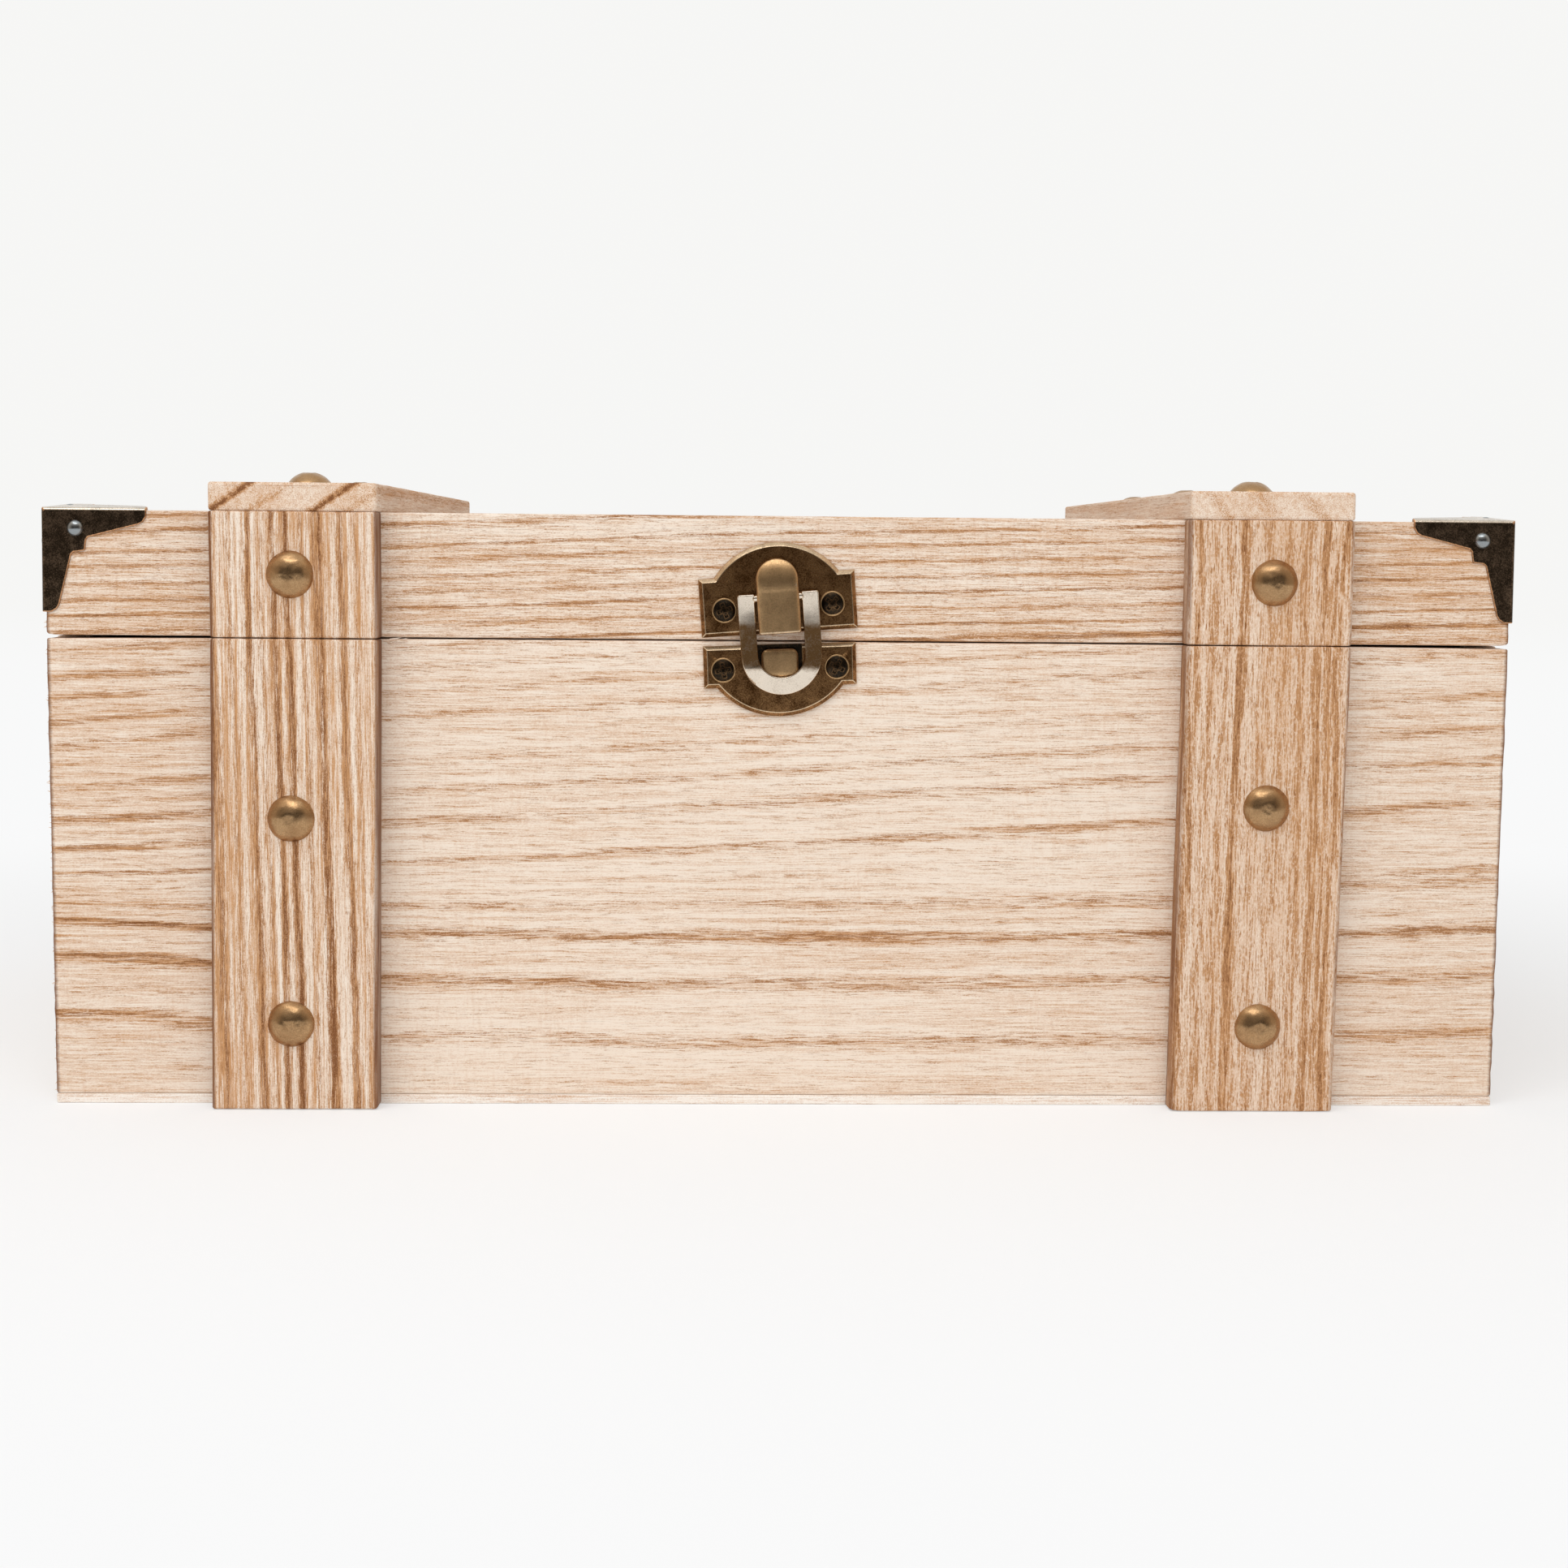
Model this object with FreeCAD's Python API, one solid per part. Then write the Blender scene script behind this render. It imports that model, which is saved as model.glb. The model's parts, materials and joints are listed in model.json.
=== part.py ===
import FreeCAD, Part
import math
import os

# Wooden keepsake chest with strap battens, a hinged lid and a toggle clasp.
# All lengths are in millimetres. +X is right seen from the front, +Y is the back, +Z is up.
# The origin is on the floor, under the middle of the whole chest.

# Boards of the body and the lid
chest_width = 355.6
wall_depth = 198.0
wall_thickness = 9.0
bottom_thickness = 2.4
body_height = 114.5
seam_gap = 0.5
lid_height = 30.0
top_panel_thickness = 6.0

# Battens on the front and the top
batten_width = 40.0
batten_thickness = 6.8
# From the side of the chest to the middle of a batten
batten_inset = 60.6
# The hand-set body battens lean: their lower ends lie this far to the left of their upper ends
batten_lean = 1.2

# Large dome-headed nails of the battens
nail_head_width = 11.3
nail_head_height = 3.2
nail_shank_width = 1.8
nail_shank_length = 12.0
nail_low_height = 21.3
nail_mid_drop_left = 43.0
nail_mid_drop_right = 39.2
nail_outset = 0.8
top_nail_front_inset = 24.0
top_nail_back_inset = 16.0

# Three-way corner brackets of the lid, and their small nails
bracket_leg = 25.0
bracket_sheet = 0.5
bracket_nail_near = 4.9
bracket_nail_far = 8.0
bracket_nail_head_width = 3.9
bracket_nail_head_height = 1.2
bracket_nail_shank_width = 1.2
bracket_nail_shank_length = 6.0
# One flange from the end of its edge to the nose, as shares of the leg
bracket_outline_shares = (
    (1.0, 0.0),
    (1.0, 0.08),
    (0.968, 0.132),
    (0.928, 0.156),
    (0.444, 0.28),
    (0.424, 0.304),
    (0.412, 0.396),
    (0.406, 0.406),
)

# Hinges on the back
hinge_inset = 57.8
hinge_length = 30.0
hinge_leaf_height = 14.0
hinge_leaf_thickness = 0.9
hinge_barrel_radius = 2.0
hinge_barrel_clearance = 0.4
hinge_pin_radius = 1.0
hinge_knuckle_gap = 0.3
hinge_knuckle_share = 0.3
hinge_screw_spread = 9.0
hinge_screw_drop = 8.5
hinge_screw_head_width = 4.4
hinge_screw_head_height = 0.8
hinge_screw_shank_width = 2.0
hinge_screw_length = 7.5

# Both plates of the clasp
plate_rise = 1.6
plate_bevel = 1.0
clasp_screw_head_width = 5.5
clasp_screw_head_height = 1.0
clasp_screw_shank_width = 2.4
clasp_screw_length = 9.0

# Latch plate on the lid, in its own frame with the lower edge at zero height
latch_centre = -0.95
latch_foot_rise = 1.8
latch_tilt = 4.2
latch_plate_width = 38.0
latch_plate_side = 14.2
latch_plate_height = 22.0
latch_shoulder = 3.8
latch_screw_inset = 5.9
latch_screw_height = 6.3

# Hook plate on the body, in its own frame with the upper edge at zero height
hook_centre = -1.1
hook_top_drop = 0.4
hook_tilt = 2.2
hook_plate_width = 37.2
hook_plate_side = 10.3
hook_plate_height = 17.6
hook_shoulder = 3.2
hook_screw_inset = 4.8
hook_screw_drop = 5.9
hook_tab_width = 8.9
hook_tab_top = 1.2
hook_tab_length = 6.8
hook_tab_rise = 0.9
hook_tab_corner = 2.6

# Lever, measured out from the panel and up from the latch plate's lower edge
lever_width = 10.2
lever_length = 18.0
lever_wall = 0.8
lever_edge_round = 0.5
lever_pivot_height = 1.9
lever_heel_radius = 2.1
lever_heel_clearance = 0.3
lever_face_clearance = 0.3
lever_shoulder_height = 10.0
lever_tip_drop = 1.6
lever_back_rise = 2.3
lever_pin_radius = 0.6
ear_wall = 0.6
ear_thickness = 0.9
ear_side_gap = 0.5
# Where the lever's face bows, as shares of its tip's length and drop
lever_bow_height_share = 0.55
lever_bow_drop_share = 0.19

# Bail, a flat loop whose top bar turns in the lever
bail_arm = 4.05
bail_side_gap = 0.65
bail_thickness = 1.2
bail_edge_round = 0.3
bail_hook_clearance = 0.3
bail_top = 9.75
bail_bottom = 14.9
bail_bottom_bar = 4.2
bail_top_bar = 2.15
bail_pin_radius = 0.8
bail_pin_root = 0.4
bail_neck_gap = 0.2

# Fits, shared by every pair
running_clearance = 0.05
press_clearance = 0.01
fastener_clearance = 0.02
overrun = 1.0
match_tolerance = 0.001

# Screw recess, as shares of the head
recess_width_share = 0.17
recess_length_share = 0.62
recess_depth_share = 0.7

# Where the faces are
half_width = chest_width / 2
front_reach = batten_thickness + nail_head_height
hinge_axis_offset = hinge_barrel_radius + hinge_barrel_clearance
back_reach = hinge_axis_offset + hinge_barrel_radius
front_y = (front_reach - wall_depth - back_reach) / 2
back_y = front_y + wall_depth
lid_bottom = body_height + seam_gap
lid_top = lid_bottom + lid_height
batten_face = front_y - batten_thickness
batten_top = lid_top + batten_thickness
hinge_axis_y = back_y + hinge_axis_offset
hinge_axis_z = body_height + seam_gap / 2
hinge_centre = half_width - hinge_inset - hinge_length / 2
batten_centre = half_width - batten_inset
latch_foot_height = lid_bottom + latch_foot_rise
hook_top_height = body_height - hook_top_drop
ear_radius = lever_pin_radius + ear_wall
lever_pivot_out = plate_rise + lever_heel_clearance + lever_heel_radius
lever_face_inner = ear_radius + lever_face_clearance
bail_back_out = plate_rise + hook_tab_rise + bail_hook_clearance
bail_pivot_out = bail_back_out + bail_thickness / 2
bail_pivot_height = bail_top - bail_top_bar / 2

origin = FreeCAD.Vector(0, 0, 0)
right = FreeCAD.Vector(1, 0, 0)
left = FreeCAD.Vector(-1, 0, 0)
back = FreeCAD.Vector(0, 1, 0)
front = FreeCAD.Vector(0, -1, 0)
up = FreeCAD.Vector(0, 0, 1)
down = FreeCAD.Vector(0, 0, -1)


def block(x_low, x_high, y_low, y_high, z_low, z_high):
    corner = FreeCAD.Vector(x_low, y_low, z_low)
    return Part.makeBox(x_high - x_low, y_high - y_low, z_high - z_low, corner)


def rod(start, direction, radius, length):
    return Part.makeCylinder(radius, length, start, direction)


def joined(shapes):
    return shapes[0].multiFuse(shapes[1:]).removeSplitter()


def drilled(board, holes):
    return board.cut(Part.makeCompound(holes))


def dome(seat, outward, width, height):
    radius = width / 2
    ball = (radius ** 2 + height ** 2) / (2 * height)
    half_angle = math.asin(radius / ball) / 2
    rim = FreeCAD.Vector(radius, 0, 0)
    tip = FreeCAD.Vector(0, 0, height)
    middle = FreeCAD.Vector(ball * math.sin(half_angle), 0, height - ball + ball * math.cos(half_angle))
    arc = Part.Arc(rim, middle, tip).toShape()
    profile = Part.Wire([Part.makeLine(origin, rim), arc, Part.makeLine(tip, origin)])
    head = Part.Face(profile).revolve(origin, up, 360)
    head.Placement = FreeCAD.Placement(seat, FreeCAD.Rotation(up, outward))
    return head


def nail(seat, outward, head_width, head_height, shank_width, shank_length):
    shank = rod(seat, outward * -1, shank_width / 2, shank_length)
    return joined([dome(seat, outward, head_width, head_height), shank])


def cross_recess(seat, outward, width, height):
    long_half = width * recess_length_share / 2
    thin_half = width * recess_width_share / 2
    depth = height * recess_depth_share
    first = block(-long_half, long_half, -thin_half, thin_half, height - depth, height + overrun)
    second = block(-thin_half, thin_half, -long_half, long_half, height - depth, height + overrun)
    recess = joined([first, second])
    recess.Placement = FreeCAD.Placement(seat, FreeCAD.Rotation(up, outward))
    return recess


def screw(seat, outward, head_width, head_height, shank_width, shank_length):
    body = nail(seat, outward, head_width, head_height, shank_width, shank_length)
    return body.cut(cross_recess(seat, outward, head_width, head_height))


def pilot(seat, outward, shank_width, shank_length):
    start = seat + outward * overrun
    radius = shank_width / 2 + fastener_clearance
    return rod(start, outward * -1, radius, overrun + shank_length + fastener_clearance)


def tilted(shape, angle, centre_x, height):
    copy = shape.copy()
    copy.rotate(origin, front, angle)
    copy.translate(FreeCAD.Vector(centre_x, front_y, height))
    return copy


def in_latch_frame(shape):
    return tilted(shape, latch_tilt, latch_centre, latch_foot_height)


def in_hook_frame(shape):
    return tilted(shape, hook_tilt, hook_centre, hook_top_height)


def mirrored_across_width(shape):
    return shape.mirror(origin, right)


def mirrored_across_depth(shape):
    return shape.mirror(FreeCAD.Vector(0, (front_y + back_y) / 2, 0), back)


# Large nails: one seat per nail, used for the nail and for its hole
def batten_nail(seat, outward):
    return nail(seat, outward, nail_head_width, nail_head_height, nail_shank_width, nail_shank_length)


def batten_pilot(seat, outward):
    return pilot(seat, outward, nail_shank_width, nail_shank_length)


def front_seat(side, z):
    x = side * (batten_centre + nail_outset)
    return FreeCAD.Vector(x, batten_face, z)


def leaning_seat(side, z):
    return front_seat(side, z) + left * (batten_lean * (body_height - z) / body_height)


def top_seat(x, y):
    return FreeCAD.Vector(x, y, batten_top)


body_nail_seats = [
    leaning_seat(-1, nail_low_height),
    leaning_seat(-1, body_height - nail_mid_drop_left),
    leaning_seat(1, nail_low_height),
    leaning_seat(1, body_height - nail_mid_drop_right),
]
lid_nail_height = (lid_bottom + lid_top) / 2
lid_nail_seats = [
    front_seat(-1, lid_nail_height),
    front_seat(1, lid_nail_height),
]
top_nail_first = batten_face + top_nail_front_inset
top_nail_last = back_y - top_nail_back_inset
top_nail_middle = (top_nail_first + top_nail_last) / 2
top_nail_seats = []
for nail_y in (top_nail_first, top_nail_middle, top_nail_last):
    top_nail_seats.append(top_seat(-batten_centre, nail_y))
    top_nail_seats.append(top_seat(batten_centre, nail_y))
body_nail_holes = [batten_pilot(seat, front) for seat in body_nail_seats]
lid_nail_holes = [batten_pilot(seat, front) for seat in lid_nail_seats]
top_nail_holes = [batten_pilot(seat, up) for seat in top_nail_seats]
front_batten_nails = Part.makeCompound([batten_nail(seat, front) for seat in body_nail_seats])
lid_front_batten_nails = Part.makeCompound([batten_nail(seat, front) for seat in lid_nail_seats])
top_batten_nails = Part.makeCompound([batten_nail(seat, up) for seat in top_nail_seats])


# Corner bracket of the front left corner; the other three are its mirror images
def bracket_points():
    near = [(a * bracket_leg, b * bracket_leg) for a, b in bracket_outline_shares]
    far = [(b, a) for a, b in reversed(near[:-1])]
    return [(0, 0)] + near + far


def flange(corner, first, second, outward):
    points = [corner + first * a + second * b for a, b in bracket_points()]
    face = Part.Face(Part.makePolygon(points + points[:1]))
    return face.extrude(outward * -bracket_sheet)


bracket_corner = FreeCAD.Vector(-half_width, front_y, lid_top) + (left + front + up) * bracket_sheet
bracket = joined([
    flange(bracket_corner, right, down, front),
    flange(bracket_corner, back, down, left),
    flange(bracket_corner, right, back, up),
])
bracket_seats = [
    (bracket_corner + right * bracket_nail_far + down * bracket_nail_near, front),
    (bracket_corner + back * bracket_nail_near + down * bracket_nail_far, left),
    (bracket_corner + right * bracket_nail_near + back * bracket_nail_far, up),
]
bracket_nails = []
bracket_holes = []
for seat, outward in bracket_seats:
    bracket_nails.append(nail(
        seat, outward, bracket_nail_head_width, bracket_nail_head_height,
        bracket_nail_shank_width, bracket_nail_shank_length,
    ))
    bracket_holes.append(pilot(seat, outward, bracket_nail_shank_width, bracket_nail_shank_length))
corner_bracket_front_left = drilled(bracket, bracket_holes)
corner_bracket_front_right = mirrored_across_width(corner_bracket_front_left)
corner_bracket_back_left = mirrored_across_depth(corner_bracket_front_left)
corner_bracket_back_right = mirrored_across_depth(corner_bracket_front_right)


def at_four_corners(shapes):
    left_pair = shapes + [mirrored_across_depth(shape) for shape in shapes]
    return left_pair + [mirrored_across_width(shape) for shape in left_pair]


corner_bracket_nails = Part.makeCompound(at_four_corners(bracket_nails))
all_bracket_holes = at_four_corners(bracket_holes)


# Hinges: the body's leaf has the two outer knuckles, the lid's leaf the middle one
knuckle_length = hinge_length * hinge_knuckle_share
middle_half = hinge_length / 2 - knuckle_length - hinge_knuckle_gap
knuckle_bore = hinge_pin_radius + running_clearance
pin_seat_bore = hinge_pin_radius + press_clearance
barrel_room = hinge_barrel_radius + hinge_barrel_clearance


def hinge_screw_seats(centre, side):
    seats = []
    for offset in (-hinge_screw_spread, hinge_screw_spread):
        height = hinge_axis_z + side * hinge_screw_drop
        seats.append(FreeCAD.Vector(centre + offset, back_y + hinge_leaf_thickness, height))
    return seats


def hinge_screw_holes(centre, side):
    return [pilot(seat, back, hinge_screw_shank_width, hinge_screw_length)
            for seat in hinge_screw_seats(centre, side)]


def hinge_screws(side):
    screws = []
    for centre in (-hinge_centre, hinge_centre):
        for seat in hinge_screw_seats(centre, side):
            screws.append(screw(
                seat, back, hinge_screw_head_width, hinge_screw_head_height,
                hinge_screw_shank_width, hinge_screw_length,
            ))
    return Part.makeCompound(screws)


def knuckle(x_low, x_high):
    start = FreeCAD.Vector(x_low, hinge_axis_y, hinge_axis_z)
    return rod(start, right, hinge_barrel_radius, x_high - x_low)


def hinge_bore(centre, radius):
    start = FreeCAD.Vector(centre - hinge_length / 2 - overrun, hinge_axis_y, hinge_axis_z)
    return rod(start, right, radius, hinge_length + 2 * overrun)


def lower_leaf(centre):
    low = centre - hinge_length / 2
    high = centre + hinge_length / 2
    face_y = back_y + hinge_leaf_thickness
    plate = block(low, high, back_y, face_y, hinge_axis_z - hinge_leaf_height, hinge_axis_z)
    room = block(
        low + knuckle_length, high - knuckle_length, back_y - overrun, face_y + overrun,
        hinge_axis_z - barrel_room, hinge_axis_z + overrun,
    )
    leaf = joined([
        plate.cut(room),
        knuckle(low, low + knuckle_length),
        knuckle(high - knuckle_length, high),
    ])
    leaf = leaf.cut(hinge_bore(centre, pin_seat_bore))
    return drilled(leaf, hinge_screw_holes(centre, -1))


def upper_leaf(centre):
    low = centre - hinge_length / 2
    high = centre + hinge_length / 2
    face_y = back_y + hinge_leaf_thickness
    plate = block(low, high, back_y, face_y, hinge_axis_z + barrel_room, hinge_axis_z + hinge_leaf_height)
    tongue = block(
        centre - middle_half, centre + middle_half, back_y, face_y,
        hinge_axis_z, hinge_axis_z + barrel_room,
    )
    leaf = joined([plate, tongue, knuckle(centre - middle_half, centre + middle_half)])
    leaf = leaf.cut(hinge_bore(centre, knuckle_bore))
    return drilled(leaf, hinge_screw_holes(centre, 1))


def hinge_pin(centre):
    start = FreeCAD.Vector(centre - hinge_length / 2, hinge_axis_y, hinge_axis_z)
    return rod(start, right, hinge_pin_radius, hinge_length)


hinge_left_lower_leaf = lower_leaf(-hinge_centre)
hinge_right_lower_leaf = lower_leaf(hinge_centre)
hinge_left_upper_leaf = upper_leaf(-hinge_centre)
hinge_right_upper_leaf = upper_leaf(hinge_centre)
hinge_left_pin = hinge_pin(-hinge_centre)
hinge_right_pin = hinge_pin(hinge_centre)
hinge_lower_screws = hinge_screws(-1)
hinge_upper_screws = hinge_screws(1)
lower_hinge_holes = hinge_screw_holes(-hinge_centre, -1) + hinge_screw_holes(hinge_centre, -1)
upper_hinge_holes = hinge_screw_holes(-hinge_centre, 1) + hinge_screw_holes(hinge_centre, 1)


# Clasp: plates, lever and bail are drawn upright on the panel face and then tilted
def plate_point(x, z):
    return FreeCAD.Vector(x, 0, z)


def side_point(out, z):
    return FreeCAD.Vector(0, -out, z)


def clasp_plate(width, side, height, shoulder, sign):
    half = width / 2
    inner = half - shoulder
    corners = [
        plate_point(-inner, sign * side),
        plate_point(-half, sign * side),
        plate_point(-half, 0),
        plate_point(half, 0),
        plate_point(half, sign * side),
        plate_point(inner, sign * side),
    ]
    edges = [Part.makeLine(corners[i], corners[i + 1]) for i in range(len(corners) - 1)]
    crown = plate_point(0, sign * height)
    edges.append(Part.Arc(corners[-1], crown, corners[0]).toShape())
    plate = Part.Face(Part.Wire(edges)).extrude(front * plate_rise)
    rim = [edge for edge in plate.Edges if edge.BoundBox.YMax < match_tolerance - plate_rise]
    return plate.makeChamfer(plate_bevel, rim)


def clasp_screw_seats(spread, height):
    return [FreeCAD.Vector(-spread, -plate_rise, height), FreeCAD.Vector(spread, -plate_rise, height)]


def clasp_screws(seats):
    return [screw(seat, front, clasp_screw_head_width, clasp_screw_head_height,
                  clasp_screw_shank_width, clasp_screw_length) for seat in seats]


def clasp_holes(seats):
    return [pilot(seat, front, clasp_screw_shank_width, clasp_screw_length) for seat in seats]


def cross_rod(out, z, radius, half_length):
    start = FreeCAD.Vector(-half_length, -out, z)
    return rod(start, right, radius, 2 * half_length)


latch_seats = clasp_screw_seats(latch_plate_width / 2 - latch_screw_inset, latch_screw_height)
hook_seats = clasp_screw_seats(hook_plate_width / 2 - hook_screw_inset, -hook_screw_drop)
latch_holes = [in_latch_frame(hole) for hole in clasp_holes(latch_seats)]
hook_holes = [in_hook_frame(hole) for hole in clasp_holes(hook_seats)]
latch_plate_screws = in_latch_frame(Part.makeCompound(clasp_screws(latch_seats)))
hook_plate_screws = in_hook_frame(Part.makeCompound(clasp_screws(hook_seats)))

# The latch plate carries two ears inside the lever, with the lever pin through them
lever_half = lever_width / 2
ear_outer = lever_half - lever_wall - ear_side_gap
ear_inner = ear_outer - ear_thickness


def ear(x_low):
    stem = block(
        x_low, x_low + ear_thickness, -lever_pivot_out, -plate_rise,
        lever_pivot_height - ear_radius, lever_pivot_height + ear_radius,
    )
    start = FreeCAD.Vector(x_low, -lever_pivot_out, lever_pivot_height)
    return joined([stem, rod(start, right, ear_radius, ear_thickness)])


latch_blank = clasp_plate(latch_plate_width, latch_plate_side, latch_plate_height, latch_shoulder, 1)
latch_blank = joined([latch_blank, ear(-ear_outer), ear(ear_inner)])
ear_bore = cross_rod(lever_pivot_out, lever_pivot_height, lever_pin_radius + press_clearance, lever_half)
latch_plate = in_latch_frame(latch_blank.cut(ear_bore))
latch_plate = drilled(latch_plate, latch_holes)
lever_pin = in_latch_frame(cross_rod(lever_pivot_out, lever_pivot_height, lever_pin_radius, lever_half))

# The hook plate carries a low tab that the bail goes round
tab_half = hook_tab_width / 2
tab_low = -hook_tab_top - hook_tab_length
tab = block(-tab_half, tab_half, -plate_rise - hook_tab_rise, -plate_rise, tab_low, -hook_tab_top)
tab_corners = [edge for edge in tab.Edges if edge.BoundBox.ZMax < tab_low + match_tolerance]
tab_corners = [edge for edge in tab_corners if edge.BoundBox.YLength > hook_tab_rise / 2]
tab = tab.makeFillet(hook_tab_corner, tab_corners)
hook_blank = clasp_plate(hook_plate_width, hook_plate_side, hook_plate_height, hook_shoulder, -1)
hook_plate = drilled(in_hook_frame(joined([hook_blank, tab])), hook_holes)

# Lever: a channel, closed at its round tip and open towards the plate
lever_face_out = lever_pivot_out + lever_face_inner + lever_wall
lever_back_out = lever_pivot_out - lever_heel_radius
lever_back_height = bail_pivot_height + lever_back_rise
lever_tip_out = lever_face_out - lever_tip_drop
lever_bow_out = lever_face_out - lever_tip_drop * lever_bow_drop_share
lever_bow_height = lever_shoulder_height + (lever_length - lever_shoulder_height) * lever_bow_height_share
heel_angle = math.radians(225)
heel_out = lever_pivot_out + lever_heel_radius * math.cos(heel_angle)
heel_height = lever_pivot_height + lever_heel_radius * math.sin(heel_angle)
heel_low = lever_pivot_height - lever_heel_radius


def lever_side():
    back_low = side_point(lever_back_out, lever_pivot_height)
    back_high = side_point(lever_back_out, lever_back_height)
    tip_back = side_point(lever_tip_out - lever_wall, lever_length)
    tip_front = side_point(lever_tip_out, lever_length)
    bow = side_point(lever_bow_out, lever_bow_height)
    shoulder = side_point(lever_face_out, lever_shoulder_height)
    toe = side_point(lever_face_out, 0)
    heel = side_point(lever_pivot_out, heel_low)
    edges = [
        Part.makeLine(back_low, back_high),
        Part.makeLine(back_high, tip_back),
        Part.makeLine(tip_back, tip_front),
        Part.Arc(tip_front, bow, shoulder).toShape(),
        Part.makeLine(shoulder, toe),
        Part.makeLine(toe, heel),
        Part.Arc(heel, side_point(heel_out, heel_height), back_low).toShape(),
    ]
    face = Part.Face(Part.Wire(edges))
    face.translate(left * lever_half)
    return face.extrude(right * lever_width)


def lever_hollow_side():
    inner_out = lever_face_out - lever_wall
    low = heel_low - overrun
    high = lever_length + overrun
    tip_front = side_point(lever_tip_out - lever_wall, lever_length)
    bow = side_point(lever_bow_out - lever_wall, lever_bow_height)
    shoulder = side_point(inner_out, lever_shoulder_height)
    corners = [side_point(inner_out, low), side_point(0, low), side_point(0, high)]
    top = side_point(lever_tip_out - lever_wall, high)
    edges = [
        Part.Arc(tip_front, bow, shoulder).toShape(),
        Part.makeLine(shoulder, corners[0]),
        Part.makeLine(corners[0], corners[1]),
        Part.makeLine(corners[1], corners[2]),
        Part.makeLine(corners[2], top),
        Part.makeLine(top, tip_front),
    ]
    face = Part.Face(Part.Wire(edges))
    face.translate(left * lever_half)
    return face.extrude(right * lever_width)


def lever_front(inset):
    half = lever_half - inset
    low = heel_low - overrun
    turn = lever_length - lever_half
    corners = [
        plate_point(-half, turn),
        plate_point(-half, low),
        plate_point(half, low),
        plate_point(half, turn),
    ]
    edges = [Part.makeLine(corners[i], corners[i + 1]) for i in range(len(corners) - 1)]
    edges.append(Part.Arc(corners[3], plate_point(0, turn + half), corners[0]).toShape())
    return Part.Face(Part.Wire(edges)).extrude(front * (lever_face_out + overrun))


def faces_front(face):
    u_low, u_high, v_low, v_high = face.ParameterRange
    return face.normalAt((u_low + u_high) / 2, (v_low + v_high) / 2).dot(front) > math.cos(math.radians(60))


def rim_edges(faces):
    edges = [edge for face in faces for edge in face.Edges]
    return [edge for edge in edges if sum(edge.isSame(other) for other in edges) == 1]


lever_blank = lever_side().common(lever_front(0)).removeSplitter()
lever_sides = [edge for edge in rim_edges([face for face in lever_blank.Faces if faces_front(face)])
               if edge.BoundBox.ZMax > match_tolerance]
lever_blank = lever_blank.makeFillet(lever_edge_round, lever_sides)
lever_hollow = lever_hollow_side().common(lever_front(lever_wall))
lever_blank = lever_blank.cut(lever_hollow)
pivot_radius = lever_pin_radius + running_clearance
pivot_bore = cross_rod(lever_pivot_out, lever_pivot_height, pivot_radius, lever_width)
bail_bore_radius = bail_pin_radius + running_clearance
bail_bore = cross_rod(bail_pivot_out, bail_pivot_height, bail_bore_radius, lever_width)
latch_lever = in_latch_frame(lever_blank.cut(pivot_bore).cut(bail_bore))

# Bail: a D loop with square shoulders; the bar inside the lever is round
bail_open_half = lever_half + bail_side_gap
bail_half = bail_open_half + bail_arm
bail_turn = bail_half - bail_bottom


def bail_outline(half, top, turn, bottom):
    corners = [
        plate_point(-half, turn),
        plate_point(-half, top),
        plate_point(half, top),
        plate_point(half, turn),
    ]
    edges = [Part.makeLine(corners[i], corners[i + 1]) for i in range(len(corners) - 1)]
    edges.append(Part.Arc(corners[3], plate_point(0, bottom), corners[0]).toShape())
    return Part.Face(Part.Wire(edges))


bail_sheet = bail_outline(bail_half, bail_top, bail_turn, -bail_bottom)
bail_sheet = bail_sheet.cut(bail_outline(
    bail_open_half, bail_top - bail_top_bar, bail_turn, bail_bottom_bar - bail_bottom,
))
bail_sheet.translate(front * bail_back_out)
bail_blank = bail_sheet.extrude(front * bail_thickness)
bail_rim = rim_edges([face for face in bail_blank.Faces if faces_front(face)])
bail_blank = bail_blank.makeFillet(bail_edge_round, bail_rim)
neck_half = bail_open_half - bail_neck_gap
bail_neck = block(
    -neck_half, neck_half, -bail_pivot_out - bail_thickness, -bail_pivot_out + bail_thickness,
    bail_top - bail_top_bar - overrun, bail_top + overrun,
)
bail_bar = cross_rod(bail_pivot_out, bail_pivot_height, bail_pin_radius, bail_open_half + bail_pin_root)
bail = in_latch_frame(joined([bail_blank.cut(bail_neck), bail_bar]))

# Boards of the body
inner_front = front_y + wall_thickness
inner_back = back_y - wall_thickness
inner_half = half_width - wall_thickness
bottom_panel = block(-half_width, half_width, front_y, back_y, 0, bottom_thickness)
front_panel = block(-half_width, half_width, front_y, inner_front, bottom_thickness, body_height)
front_panel = drilled(front_panel, body_nail_holes + hook_holes)
back_panel = block(-half_width, half_width, inner_back, back_y, bottom_thickness, body_height)
back_panel = drilled(back_panel, lower_hinge_holes)
left_end_panel = block(-half_width, -inner_half, inner_front, inner_back, bottom_thickness, body_height)
right_end_panel = block(inner_half, half_width, inner_front, inner_back, bottom_thickness, body_height)

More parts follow.
